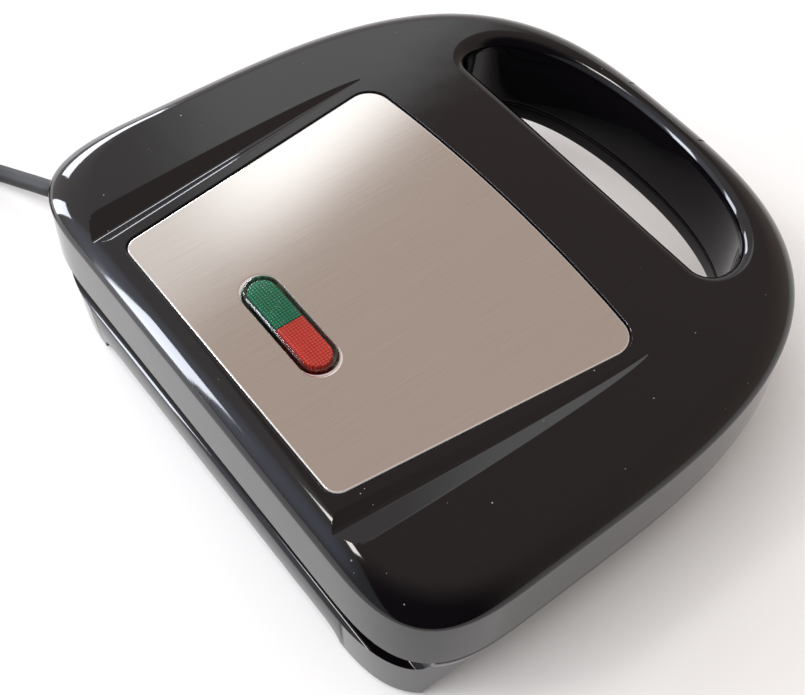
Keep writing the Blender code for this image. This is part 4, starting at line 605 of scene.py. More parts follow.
# a rounded rebate along the back leaves a ledge for the hinge, and the ledge's edge is rounded too
LEDGE, REBATE_CORNER, SHOULDER = 26.7, 5.5, 3.0
rebate_profile = [(112.0, LEDGE)]
for i in range(13):
    a = math.pi / 2 * (1 - i / 12)
    rebate_profile.append((101.8 - REBATE_CORNER * math.cos(a),
                           LEDGE + REBATE_CORNER * (1 - math.sin(a))))
rebate_profile += [(96.3, 36.5), (96.0, 37.3), (95.3, 37.75), (95.3, 40.0), (112.0, 40.0)]
rebate = tool(across_x(rebate_profile, -BEYOND, BEYOND))
shoulder_y, shoulder_z = 106.1, LEDGE - SHOULDER
shoulder_profile = []
for i in range(17):
    a = math.pi / 2 * i / 16
    shoulder_profile.append((shoulder_y + SHOULDER * math.cos(a), shoulder_z + SHOULDER * math.sin(a)))
shoulder_profile += [(shoulder_y, 28.7), (113.0, 28.7), (113.0, shoulder_z)]
shoulder = tool(across_x(shoulder_profile, -BEYOND, BEYOND))

inner_top = BASE_TOP - LIP - WALL
hollow = tool([level(tub_outline(WALL + 1.2, 160), BASE_BOTTOM + WALL),
               level(tub_outline(WALL, 160), inner_top)])
back_wall = tool(box_loops(-BEYOND, BEYOND, 93.8, 115.0, 10.5, 40.0))


def end_bay(side, wall, top):
    """The space under the rim band at one end, where the tub is drawn in behind its back foot."""
    foot_edge, drawn_to = (97.0, 106.0) if side < 0 else (73.0, 112.0)
    arc = []
    for i in range(13):
        a = math.pi / 2 * i / 12
        arc.append((foot_edge - 27.0 * (1 - math.cos(a)) + wall, -2.0 + (top + 2.0) * math.sin(a)))
    profile = [(-80.0, -2.0)] + arc + [(-80.0, top)]
    return tool(across_x(profile, *sorted((side * (drawn_to - wall), side * BEYOND))))


end_bays = [end_bay(side, 0.0, 31.5) for side in (1, -1)]
end_walls = [end_bay(side, WALL, BAND_BOTTOM + WALL) for side in (1, -1)]
screws = ((45.0, 78.5), (-45.0, 78.5), (30.0, -8.0), (-30.0, -8.0))
bosses = [tool([level(circle(5.4, x, y), 10.0), level(circle(5.4, x, y), 17.0)]) for x, y in screws]
carve(hollow, [("DIFFERENCE", [back_wall] + bosses + end_walls)])


def rounded_box(width, depth, radius, y_mid, steps=10):
    """A rectangle with round corners about the middle line, anticlockwise."""
    half = []
    cx = width / 2 - radius
    for cy, turn in ((-depth / 2 + radius, -0.5), (depth / 2 - radius, 0.0)):
        for i in range(steps + 1):
            a = math.pi * turn + math.pi / 2 * i / steps
            half.append((cx + radius * math.cos(a), cy + y_mid + radius * math.sin(a)))
    return half + [(-x, y) for x, y in reversed(half)]


PLATE_WIDTH, PLATE_DEPTH, PLATE_CORNER, PLATE_Y = 206.0, 130.0, 20.0, 19.0
PLATE_PLAY = 0.8


def plate_outline(grow):
    """The cooking plate's outline, grown or drawn in by a distance."""
    return rounded_box(PLATE_WIDTH + 2 * grow, PLATE_DEPTH + 2 * grow, PLATE_CORNER + grow, PLATE_Y)


plate_opening = tool([level(plate_outline(PLATE_PLAY), inner_top - 2.0),
                      level(plate_outline(PLATE_PLAY), BASE_TOP + 2.0)])
skirt = tool([level(rim_outline(WALL, 200), BASE_TOP - LIP), level(rim_outline(WALL, 200), BASE_TOP + 2.0)])
skirt_islands = [tool([level(slot_outline(WALL), 33.0), level(slot_outline(WALL), 42.0)]),
                 tool(box_loops(-38.0, 38.0, FRONT, -56.2, 33.0, 42.0))]
carve(skirt, [("DIFFERENCE", skirt_islands)])

slot_levels = [(BAND_BOTTOM - 2.0, 1.6)]
for i in range(7):
    a = math.pi / 2 * i / 6
    slot_levels.append((BAND_BOTTOM + 1.6 * math.sin(a), 1.6 * (1 - math.sin(a))))
slot_levels += [(BASE_TOP - 0.9, 0.0), (BASE_TOP - 0.3, 0.25), (BASE_TOP, 0.9), (BASE_TOP + 2.0, 0.9)]
base_slot = tool([level(slot_outline(grow - 0.9), z) for z, grow in slot_levels])
base_latch = tool(box_loops(-19.5, 19.5, FRONT - 2.0, -105.2, BAND_BOTTOM - 2.0, BASE_TOP + 2.0))
arch_along = tool(across_y(arch(76.6, -1.0, BASE_BOTTOM, 8.0), TUB_FRONT - 3.0, BACK + 3.0))
arch_across = tool(across_x([(28.3 + y, z) for y, z in arch(55.0, -1.0, BASE_BOTTOM, 8.0)],
                            -BEYOND, BEYOND))


def pin_hole(y, z, radius, x0, x1):
    """A tool for a round hole along x."""
    return tool(across_x([(y + py, z + pz) for py, pz in circle(radius)], x0, x1))


bays, ears, ear_holes = [], [], []
for side in (1, -1):
    x = side * HINGE_X
    bays.append(tool(box_loops(x - 10.0, x + 10.0, HINGE.y - 6.4, BACK, LEDGE, BASE_TOP + 2.0)))
    ear = [(HINGE.y - 8.9, 25.7), (HINGE.y - 4.0, 25.7)]
    for i in range(33):
        a = -math.pi * 0.65 + math.pi * 1.25 * i / 32
        ear.append((HINGE.y + 6.0 * math.cos(a), HINGE.z + 6.0 * math.sin(a)))
    ear.append((HINGE.y - 8.9, BASE_TOP - LIP))
    ears.append(tool(across_x(ear, x - 5.0, x + 5.0)))
    ear_holes.append(pin_hole(HINGE.y, HINGE.z, 2.08, x - 7.0, x + 7.0))

screw_wells = [tool([level(circle(3.7, x, y), 8.0), level(circle(3.7, x, y), 12.2),
                     level(circle(1.9, x, y), 12.2), level(circle(1.9, x, y), 30.0)]) for x, y in screws]
vents = []
for i in range(5):
    ring = [(px + (i - 2) * 10.0, py) for px, py in rounded_box(4.0, 34.0, 1.95, 45.0, 6)]
    vents.append(tool([level(ring, 8.0), level(ring, 14.0)]))
outlet = pin_hole(RELIEF_START[1], RELIEF_START[2], 4.8, 100.0, 124.0)
pad_places = [(sx * 92.77, y) for y in (-40.74, 92.98) for sx in (1, -1)]
pad_seats = [tool([level(circle(6.8, x, y), -2.0), level(circle(6.8, x, y), 3.8)]) for x, y in pad_places]

shell_cuts = [rebate, shoulder, hollow, plate_opening, skirt, base_slot, base_latch]
carve(base, [("DIFFERENCE", end_bays), ("UNION", [band]),
             ("DIFFERENCE", shell_cuts + [arch_along, arch_across] + bays), ("UNION", ears),
             ("DIFFERENCE", ear_holes + screw_wells + vents + [outlet] + pad_seats)])
smooth_faces(base)
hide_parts("base_housing")
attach(base, "base")


# Feet. Four moulded rubber pads, each pressed into a round seat under a corner foot; soft black
# with a fine matte grain and a shallow dished face.

pad_rubber, tree, shader = finish_named("moulded_black_rubber", Roughness=0.78, IOR=1.52)
grain = grained(tree, shader, 1400.0, 3.0, "#131313", "#222222")
bump = put(tree, "ShaderNodeBump", {"Height": grain.outputs["Fac"], "Strength": 0.3, "Distance": 0.0002})
tree.links.new(bump.outputs["Normal"], shader.inputs["Normal"])


def turned(bm, profile, steps=40, x=0.0, y=0.0):
    """A turned solid from (radius, height) points, closed at both ends."""
    loft(bm, [level(circle(r, x, y, steps), z) for r, z in profile])


bm = bmesh.new()
turned(bm, [(2.0, 0.55), (4.4, 0.30), (5.2, 0.0), (5.9, 0.0), (6.3, 0.25), (6.5, 0.8), (6.5, 3.5)])
pad_shape = mesh_piece("pad_shape", bm, pad_rubber)


def scatter(name, shape, places, mat):
    """Stand a copy of one shape at each place, through a small node tree, as one plain mesh."""
    tree = bpy.data.node_groups.new(name, "GeometryNodeTree")
    for socket, kind in (("Places", "NodeSocketGeometry"), ("Shape", "NodeSocketObject"),
                         ("Finish", "NodeSocketMaterial")):
        tree.interface.new_socket(socket, in_out="INPUT", socket_type=kind)
    tree.interface.new_socket("Pieces", in_out="OUTPUT", socket_type="NodeSocketGeometry")
    given = put(tree, "NodeGroupInput")
    shaped = put(tree, "GeometryNodeObjectInfo", {"Object": given.outputs["Shape"]})
    copies = put(tree, "GeometryNodeInstanceOnPoints", {"Points": given.outputs["Places"],
                                                        "Instance": shaped.outputs["Geometry"]})
    plain = put(tree, "GeometryNodeRealizeInstances", {"Geometry": copies.outputs["Instances"]})
    finished = put(tree, "GeometryNodeSetMaterial", {"Geometry": plain.outputs["Geometry"],
                                                     "Material": given.outputs["Finish"]})
    put(tree, "NodeGroupOutput", {"Pieces": finished.outputs["Geometry"]})
    data = bpy.data.meshes.new(name)
    data.from_pydata([tuple(Vector(p) * MM) for p in places], [], [])
    obj = bpy.data.objects.new(name, data)
    bpy.context.collection.objects.link(obj)
    mod = obj.modifiers.new(name, "NODES")
    mod.node_group = tree
    for item in tree.interface.items_tree:
        if item.in_out == "INPUT" and item.name == "Shape":
            mod[item.identifier] = shape
        if item.in_out == "INPUT" and item.name == "Finish":
            mod[item.identifier] = mat
    dg = bpy.context.evaluated_depsgraph_get()
    done = bpy.data.meshes.new_from_object(obj.evaluated_get(dg))
    obj.modifiers.clear()
    obj.data = done
    bpy.data.objects.remove(shape)
    return obj


pads = scatter("rubber_pads", pad_shape, [(x, y, 0.0) for x, y in pad_places], pad_rubber)
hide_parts("foot_pad_front_right", "foot_pad_front_left", "foot_pad_back_right",
            "foot_pad_back_left")
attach(pads, "base")


# Lid housing. The same gloss ABS as the base, moulded in one piece with the handle's upper half,
# the recess of the steel panel, the two scooped grooves beside it and the hinge lugs.

RIM, RIM_WIDTH, BEVEL = 8.0, 10.2, 1.5


def panel_outline(grow, steps=10):
    """The steel panel's outline: a trapezoid with a bowed front edge and rounded corners."""
    back, front = 60.6 + grow, 74.6 + grow
    y_back, y_front = 97.1 + grow, -17.9 - grow
    corners = [(-front, y_front)]
    for i in range(1, 16):
        share = -1 + i / 8
        if abs(share) < 0.8:
            corners.append((share * front, y_front - 4.6 * (1 - share * share)))
    corners += [(front, y_front), (back, y_back), (-back, y_back)]
    round_at = [9.0 + grow] + [0] * (len(corners) - 4) + [9.0 + grow] + [5.5 + grow] * 2
    pts = []
    for i, (corner, radius) in enumerate(zip(corners, round_at)):
        p = Vector(corner)
        if radius == 0:
            pts.append((p.x, p.y))
            continue
        u = (Vector(corners[i - 1]) - p).normalized()
        v = (Vector(corners[(i + 1) % len(corners)]) - p).normalized()
        half_angle = u.angle(v) / 2
        centre = p + (u + v).normalized() * (radius / math.sin(half_angle))
        start_at = p + u * (radius / math.tan(half_angle)) - centre
        sweep = math.pi - 2 * half_angle
        for k in range(steps + 1):
            q = centre + Matrix.Rotation(sweep * k / steps, 2) @ start_at
            pts.append((q.x, q.y))
    return pts


def groove_tool(side):
    """The scooped groove: two sloping walls that widen and deepen towards the back, out through the rim."""
    loops = []
    length = 127.0
    for i in range(64):
        share = 0.01 + (1.024 - 0.01) * (i / 63) ** 1.35
        y = BACK - length + length * share
        width = 14.8 * share ** 0.62
        deep = 2.5 * share ** 0.66
        lip = (121.2 + 28.0 * (97.1 - y) / 115.0) / 2 + 4.5
        floor = lip + width * 0.36
        outer = lip + width
        r_lip, r_floor = min(0.55, width * 0.07), min(0.9, width * 0.1)
        corners = [Vector((lip - 2.0, 0.0)), Vector((lip, 0.0)), Vector((floor, -deep)),
                   Vector((outer, 0.0)), Vector((outer + 2.0, 0.0))]
        profile = [(lip - r_lip, 4.0)]
        for before, at, after, radius in zip(corners, corners[1:], corners[2:], (r_lip, r_floor, r_lip)):
            u = (before - at).normalized() * radius
            v = (after - at).normalized() * radius
            for j in range(7):
                t = j / 6
                q = at + u * (1 - t) ** 2 + v * t ** 2
                profile.append((q.x, q.y))
        profile.append((outer + r_lip, 4.0))
        loops.append([(side * x, y, LID_TOP + z) for x, z in profile])
    return loops


bm = bmesh.new()
loops = []
for i in range(5):
    a = math.pi / 2 * i / 4
    loops.append(level(rim_outline(0.7 - 0.7 * math.sin(a)), LID_BOTTOM + 0.7 - 0.7 * math.cos(a)))
loops += [level(rim_outline(0.27), 46.0), level(rim_outline(0.53), 54.0)]
for i in range(23):
    a = math.pi / 2 * i / 22
    drawn_in = 1 - max(math.cos(a), 0.0) ** (2 / BEVEL)
    loops.append(level(rim_outline(0.8 + RIM_WIDTH * drawn_in, 300, drawn_in),
                       LID_TOP - RIM + RIM * math.sin(a) ** (2 / BEVEL)))
loft(bm, loops)
lid = mesh_piece("lid_moulding", bm, gloss_abs)

lid_hollow = tool([level(rim_outline(WALL, 160), LID_BOTTOM + LIP + WALL),
                   level(rim_outline(3.3, 160), 62.2),
                   level(rim_outline(7.3, 160), 66.2)])
islands = [tool([level(slot_outline(4.4), 36.0), level(slot_outline(4.4), 72.0)]),
           tool(box_loops(-24.5, 24.5, FRONT, -56.2, 36.0, 72.0))]
for side in (1, -1):
    islands.append(tool(box_loops(*sorted((side * 61.0, side * 92.0)), -26.0, 108.0, 60.9, 72.0)))
islands += [tool([level(circle(5.4, x, y), 58.7), level(circle(5.4, x, y), 72.0)]) for x, y in screws]


def lug(x_inner, x_outer):
    """A hinge lug's side view, round below and straight up into the deck."""
    profile = [(HINGE.y + 5.4, HINGE.z + 7.0), (HINGE.y - 5.4, HINGE.z + 7.0)]
    for i in range(25):
        a = math.pi + math.pi * i / 24
        profile.append((HINGE.y + 5.4 * math.cos(a), HINGE.z + 5.4 * math.sin(a)))
    return tool(across_x(profile, *sorted((x_inner, x_outer))))


lug_spans = [(side * HINGE_X + way * 5.5, side * HINGE_X + way * 9.0)
             for side in (1, -1) for way in (1, -1)]
carve(lid_hollow, [("DIFFERENCE", islands + [lug(a, b) for a, b in lug_spans])])
lid_opening = tool([level(plate_outline(PLATE_PLAY), LID_BOTTOM - 2.0),
                    level(plate_outline(PLATE_PLAY), LID_BOTTOM + 6.0)])
lid_skirt = tool([level(rim_outline(WALL, 200), LID_BOTTOM - 2.0),
                  level(rim_outline(WALL, 200), LID_BOTTOM + LIP)])
carve(lid_skirt, [("DIFFERENCE", [tool([level(slot_outline(WALL), 34.0), level(slot_outline(WALL), 42.0)])]
                   + [lug(a, b) for a, b in lug_spans])])
lid_bays, lug_holes = [], []
for side in (1, -1):
    x = side * HINGE_X
    lid_bays.append(tool(box_loops(x - 5.5, x + 5.5, HINGE.y - 12.0, HINGE.y + 6.5, 28.0, HINGE.z + 7.0)))
    lug_holes.append(pin_hole(HINGE.y, HINGE.z, 2.3, x - 11.0, x + 11.0))

slot_levels = [(LID_BOTTOM - 2.0, 0.0), (LID_BOTTOM, 0.0), (LID_BOTTOM + 0.1, -0.35),
               (LID_BOTTOM + 0.5, -0.5)]
for i in range(13):
    a = math.pi / 2 * i / 12
    slot_levels.append((LID_TOP - 5.4 + 5.4 * math.sin(a), 5.4 * (1 - math.cos(a))))
slot_levels.append((LID_TOP + 2.0, 5.4))
lid_slot = tool([level(slot_outline(grow), z) for z, grow in slot_levels])
recess = tool([level(panel_outline(0.6), LID_TOP - 1.3), level(panel_outline(0.6), LID_TOP - 0.4),
               level(panel_outline(0.7), LID_TOP - 0.13), level(panel_outline(1.06), LID_TOP + 0.2),
               level(panel_outline(1.06), LID_TOP + 2.0)])
grooves = [tool(groove_tool(side)) for side in (1, -1)]


def capsule(length, width, y, steps=20):
    r = width / 2
    half = []
    for i in range(2 * steps + 1):
        t = -math.pi / 2 + math.pi * i / (2 * steps)
        half.append((length / 2 - r + r * math.cos(t), y + r * math.sin(t)))
    return half + [(-x, py) for x, py in reversed(half)]


LENS_Y = 70.8
window = tool([level(capsule(44.6, 13.8, LENS_Y), 60.0), level(capsule(44.6, 13.8, LENS_Y), 72.0)])
top_wells = [tool([level(circle(1.9, x, y), 40.0), level(circle(1.9, x, y), 66.5),
                   level(circle(3.7, x, y), 66.5), level(circle(3.7, x, y), 72.0)]) for x, y in screws]
latch_y, latch_z = -104.6, 60.0
recess_profile = [(FRONT - 2.0, 28.0), (-99.8, 28.0)]
for i in range(13):
    a = math.pi / 2 * i / 12
    recess_profile.append((latch_y + 4.8 * math.cos(a), latch_z + 4.8 * math.sin(a)))
recess_profile.append((FRONT - 2.0, latch_z + 4.8))
latch_recess = tool(across_x(recess_profile, -19.5, 19.5))
rim_notches = [tool(box_loops(*sorted((side * 18.6, side * 19.5)), FRONT - 2.0, -101.6, 58.0, 70.4))
               for side in (1, -1)]
latch_hole = pin_hole(latch_y, latch_z, 1.7, -22.3, 22.3)
carve(lid, [("DIFFERENCE", [lid_hollow, lid_opening, lid_skirt]),
            ("UNION", [lug(a, b) for a, b in lug_spans]),
            ("DIFFERENCE", lid_bays + lug_holes + [lid_slot, recess] + grooves
             + [window, latch_recess, latch_hole] + rim_notches + top_wells)])
smooth_faces(lid)
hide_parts("lid_housing")
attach(lid, "lid")


# Steel panel. A blanked sheet of 0.8 mm stainless steel, brushed from front to back, set in the
# lid's recess; its window is dished down round the indicator.

# Stainless steel, brushed: long fine lines along the stroke spread the gloss across them
steel, tree, shader = finish_named("brushed_stainless", Metallic=1.0, Anisotropic=0.4)
place = put(tree, "ShaderNodeTexCoord")
stretch = put(tree, "ShaderNodeMapping", {"Vector": place.outputs["Object"],
                                          "Scale": (3400.0, 30.0, 200.0)})
lines = put(tree, "ShaderNodeTexNoise", {"Vector": stretch.outputs["Vector"], "Scale": 1.0, "Detail": 4.0})
broad = put(tree, "ShaderNodeMapping", {"Vector": place.outputs["Object"], "Scale": (160.0, 9.0, 60.0)})
bands = put(tree, "ShaderNodeTexNoise", {"Vector": broad.outputs["Vector"], "Scale": 1.0, "Detail": 2.0})
mixed = put(tree, "ShaderNodeMath", {0: bands.outputs["Fac"], 1: 0.18, 2: lines.outputs["Fac"]},
            operation="MULTIPLY_ADD")
tone = put(tree, "ShaderNodeMapRange", {"Value": mixed.outputs["Value"], "From Min": 0.35,
                                        "From Max": 0.85})
brushed = put(tree, "ShaderNodeMix", {0: tone.outputs["Result"], 6: linear("#d9d4d0"),
                                      7: linear("#dfdbd7")}, data_type="RGBA")
dots = put(tree, "ShaderNodeTexVoronoi", {"Vector": place.outputs["Object"], "Scale": 190.0})
rare = put(tree, "ShaderNodeTexNoise", {"Vector": place.outputs["Object"], "Scale": 61.0, "Detail": 1.0})
dot_size = put(tree, "ShaderNodeMapRange", {"Value": rare.outputs["Fac"], "From Min": 0.58, "From Max": 0.8,
                                            "To Max": 0.07})
dust = put(tree, "ShaderNodeMath", {0: dots.outputs["Distance"], 1: dot_size.outputs["Result"]},
           operation="LESS_THAN")
colour = put(tree, "ShaderNodeMix", {0: dust.outputs["Value"], 6: brushed.outputs[2], 7: linear("#e9e3da")},
             data_type="RGBA")
# the blanked edges and the dish round the window, below the flat face, are painted near white and made less
# metallic: a painted highlight that shows from every direction
parts = put(tree, "ShaderNodeSeparateXYZ", {"Vector": place.outputs["Object"]})
painted_edge_highlight = put(tree, "ShaderNodeMapRange", {"Value": parts.outputs["Z"], "From Min": 0.06979,
                                            "From Max": 0.06970})
with_painted_highlight = put(tree, "ShaderNodeMix", {0: painted_edge_highlight.outputs["Result"], 6: colour.outputs[2],
                                    7: linear("#f4f2ee")}, data_type="RGBA")
tree.links.new(with_painted_highlight.outputs[2], shader.inputs["Base Color"])
# the painted highlight also takes the metal down to 0.45 on these faces
metal = put(tree, "ShaderNodeMapRange", {"Value": painted_edge_highlight.outputs["Result"], "To Min": 1.0,
                                         "To Max": 0.45})
tree.links.new(metal.outputs["Result"], shader.inputs["Metallic"])
rough = put(tree, "ShaderNodeMapRange", {"Value": mixed.outputs["Value"], "From Min": 0.35,
                                         "From Max": 0.85, "To Min": 0.10, "To Max": 0.13})
tree.links.new(rough.outputs["Result"], shader.inputs["Roughness"])
bump = put(tree, "ShaderNodeBump", {"Height": lines.outputs["Fac"], "Strength": 0.02, "Distance": 0.00004})
tree.links.new(bump.outputs["Normal"], shader.inputs["Normal"])
stroke = put(tree, "ShaderNodeTangent", direction_type="UV_MAP", uv_map="stroke")
tree.links.new(stroke.outputs["Tangent"], shader.inputs["Tangent"])

PANEL_LOW, PANEL_TOP = 69.0, 69.8
bm = bmesh.new()
loft(bm, [level(panel_outline(0.0), PANEL_LOW), level(panel_outline(0.0), PANEL_TOP - 0.40),
          level(panel_outline(-0.12), PANEL_TOP - 0.20), level(panel_outline(-0.34), PANEL_TOP - 0.06),
          level(panel_outline(-0.62), PANEL_TOP)])
panel = mesh_piece("brushed_panel", bm, steel)
hole_levels = [(PANEL_LOW - 1.0, 0.6, 0.6), (PANEL_LOW + 0.05, 0.6, 0.6)]
for i in range(9):
    a = math.pi / 2 * i / 8
    out = 1 - math.cos(a)
    hole_levels.append((PANEL_TOP - 0.7 + 0.7 * math.sin(a), 0.6 + 2.0 * out, 0.6 + 0.35 * out))
hole_levels.append((PANEL_TOP + 1.0, 2.6, 0.95))
carve(panel, [("DIFFERENCE", [tool([level(capsule(44.0 + 2 * end, 13.2 + 2 * side, LENS_Y), z)
                                    for z, end, side in hole_levels])])])
smooth_faces(panel)
layer = panel.data.uv_layers.new(name="stroke")
for loop in panel.data.loops:
    spot = panel.data.vertices[loop.vertex_index].co
    layer.data[loop.index].uv = (spot.y * 8.0, -spot.x * 8.0)
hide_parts("steel_panel")
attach(panel, "lid")


# Indicator. A clear acrylic cover stands proud of the steel; under it sit a green and a red insert
# with a fine moulded grid, and below them the tray with its two neon lamps.

# Acrylic, moulded clear: see-through with a sharp gloss at its rounded edges
cover_acrylic = bpy.data.materials.new("clear_acrylic")
cover_acrylic.use_nodes = True
tree = cover_acrylic.node_tree
tree.nodes.clear()
through = put(tree, "ShaderNodeBsdfTransparent", {"Color": linear("#eef2ef")})
gloss = put(tree, "ShaderNodeBsdfGlossy", {"Color": linear("#ffffff"), "Roughness": 0.015})
edge = put(tree, "ShaderNodeFresnel", {"IOR": 1.40})
blend = put(tree, "ShaderNodeMixShader", {0: edge.outputs["Fac"], 1: through.outputs["BSDF"],
                                          2: gloss.outputs["BSDF"]})
put(tree, "ShaderNodeOutputMaterial", {"Surface": blend.outputs["Shader"]})

bm = bmesh.new()
loops = [level(capsule(44.0, 13.2, LENS_Y), 65.6), level(capsule(44.0, 13.2, LENS_Y), 71.2)]
for i in range(1, 9):
    a = math.pi / 2 * i / 8
    loops.append(level(capsule(44.0 - 2.8 * (1 - math.cos(a)), 13.2 - 2.8 * (1 - math.cos(a)), LENS_Y),
                       71.2 + 1.4 * math.sin(a)))
loft(bm, loops)
cover = mesh_piece("clear_cover", bm, cover_acrylic)
smooth_faces(cover, 50.0)
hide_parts("lens_cover")
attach(cover, "lid")


def tinted(name, deep, painted_highlight_tone):
    """Transparent ABS, tinted, with a moulded grid of 1.1 mm pyramids that sparkle; the grid's cells are
    painted a bright tone as painted highlights, and its lines keep the deep tint.
    """
    mat, tree, shader = finish_named(name, Roughness=0.16, IOR=1.53)
    place = put(tree, "ShaderNodeTexCoord")
    parts = put(tree, "ShaderNodeSeparateXYZ", {"Vector": place.outputs["Object"]})
    waves = []
    for axis in ("X", "Y"):
        turn = put(tree, "ShaderNodeMath", {0: parts.outputs[axis], 1: 2 * math.pi / 0.0011},
                   operation="MULTIPLY")
        waves.append(put(tree, "ShaderNodeMath", {0: turn.outputs["Value"]}, operation="COSINE"))
    grid = put(tree, "ShaderNodeMath", {0: waves[0].outputs["Value"], 1: waves[1].outputs["Value"]},
               operation="MAXIMUM")
    tone = put(tree, "ShaderNodeMapRange", {"Value": grid.outputs["Value"], "From Min": 0.0,
                                            "From Max": 1.0, "To Min": 0.0, "To Max": 1.0})
    # painted highlights: the bright tone fills the grid's cells, the deep tint its lines
    colour = put(tree, "ShaderNodeMix", {0: tone.outputs["Result"], 6: linear(painted_highlight_tone), 7: linear(deep)},
                 data_type="RGBA")
    tree.links.new(colour.outputs[2], shader.inputs["Base Color"])
    bump = put(tree, "ShaderNodeBump", {"Height": grid.outputs["Value"], "Strength": 0.5,
                                        "Distance": 0.0003})
    tree.links.new(bump.outputs["Normal"], shader.inputs["Normal"])
    return mat


# the second colour of each insert is its painted highlight tone
green_abs = tinted("tinted_green_abs", "#00432f", "#0f9a72")
red_abs = tinted("tinted_red_abs", "#b8251e", "#f25044")
for side, name, node_name, slot_name, mat in ((1, "green_insert", "lens_green", "lens_green", green_abs),
                                              (-1, "red_insert", "lens_red", "lens_red", red_abs)):
    bm = bmesh.new()
    loops = []
    for z, g in ((65.6, 0.0), (70.7, 0.0), (71.05, 0.12), (71.2, 0.5)):
        ring = [(x, y) for x, y in capsule(41.2 - 2 * g, 10.4 - 2 * g, LENS_Y) if x > 0]
        ring = ring + [(0.15 + g * 0.3, ring[-1][1]), (0.15 + g * 0.3, ring[0][1])]
        loops.append([(side * x, y, z) for x, y in ring])
    loft(bm, loops)
    insert = mesh_piece(name, bm, mat)
    smooth_faces(insert)
    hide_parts(node_name)
    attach(insert, "lid")


# Latch. A black moulded clip on a steel pin through the front of the handle; its hook grips under
# the base's half, and a shallow dip takes the finger that springs it open.

clip_profile = []
for i in range(29):
    a = math.pi * (1 - 1.3 * i / 28)
    clip_profile.append((latch_y + 4.3 * math.cos(a), latch_z + 4.3 * math.sin(a)))
clip_profile += [(-105.7, 54.0), (-105.7, 29.4), (-101.1, 29.4), (-101.1, 28.2), (-102.5, 26.6),
                 (-107.7, 26.6), (-108.5, 26.95), (-108.9, 27.8)]
bm = bmesh.new()
loops = []
for x, g in ((-19.0, 0.5), (-18.85, 0.15), (-18.5, 0.0), (18.5, 0.0), (18.85, 0.15), (19.0, 0.5)):
    loops.append([(x, y + (g if y < -107.5 else 0.0), z) for y, z in clip_profile])
loft(bm, loops)
clip = mesh_piece("latch_moulding", bm, gloss_abs)
dip = []
for i in range(9):
    a = math.pi * i / 8
    dip.append((-108.9 + 1.3 * math.sin(a), 30.4 + 13.2 * (i / 8)))
dip_tool = tool(across_x([(-112.0, 30.4)] + dip + [(-112.0, 43.6)], -13.3, 13.3))
bore = pin_hole(latch_y, latch_z, 1.48, -21.0, 21.0)
carve(clip, [("DIFFERENCE", [dip_tool, bore])])
smooth_faces(clip)
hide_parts("latch_clip")
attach(clip, "latch")


# Cooking plates. Die-cast aluminium with a dark non-stick coating: four drafted triangular pockets
# whose ridges cut and seal the bread, inside a shallow gutter. The two are mirror images.

# Sprayed PTFE on a cast plate: satin charcoal with a fine fleck and a soft orange-peel surface
non_stick, tree, shader = finish_named("sprayed_ptfe", Roughness=0.40, IOR=1.45)
place = put(tree, "ShaderNodeTexCoord")
fleck = put(tree, "ShaderNodeTexVoronoi", {"Vector": place.outputs["Object"], "Scale": 1500.0})
pale = put(tree, "ShaderNodeMapRange", {"Value": fleck.outputs["Distance"], "From Min": 0.0,
                                        "From Max": 0.22, "To Min": 1.0, "To Max": 0.0})
colour = put(tree, "ShaderNodeMix", {0: pale.outputs["Result"], 6: linear("#232224"), 7: linear("#57565a")},
             data_type="RGBA")
tree.links.new(colour.outputs[2], shader.inputs["Base Color"])
peel = put(tree, "ShaderNodeTexNoise", {"Vector": place.outputs["Object"], "Scale": 480.0, "Detail": 2.0})
bump = put(tree, "ShaderNodeBump", {"Height": peel.outputs["Fac"], "Strength": 0.22, "Distance": 0.0003})
tree.links.new(bump.outputs["Normal"], shader.inputs["Normal"])


def triangles():
    shapes = []
    for side in (1, -1):
        outer, inner, near, far = side * 94.0, side * 2.5, PLATE_Y - 54.0, PLATE_Y + 54.0
        for corners in ([(inner, near), (outer, near), (inner, far)],
                        [(outer, near), (outer, far), (inner, far)]):
            shapes.append(corners if side > 0 else list(reversed(corners)))
    return shapes


def inset_triangle(corners, amount, radius, steps=9):
    """A triangle drawn in on every side, with its corners rounded."""
    sides = []
    for i in range(3):
        a, b = Vector(corners[i]), Vector(corners[(i + 1) % 3])
        run = (b - a).normalized()
        sides.append((a + Vector((-run.y, run.x)) * amount, run))
    sharp = []
    for i in range(3):
        (p, u), (q, v) = sides[i - 1], sides[i]
        t = ((q - p).x * v.y - (q - p).y * v.x) / (u.x * v.y - u.y * v.x)
        sharp.append(p + u * t)
    pts = []
    for i in range(3):
        p = sharp[i]
        u, v = (sharp[i - 1] - p).normalized(), (sharp[(i + 1) % 3] - p).normalized()
        half_angle = u.angle(v) / 2
        centre = p + (u + v).normalized() * (radius / math.sin(half_angle))
        start_at = p + u * (radius / math.tan(half_angle)) - centre
        for k in range(steps + 1):
            q = centre + Matrix.Rotation((math.pi - 2 * half_angle) * k / steps, 2) @ start_at
            pts.append((q.x, q.y))
    return pts


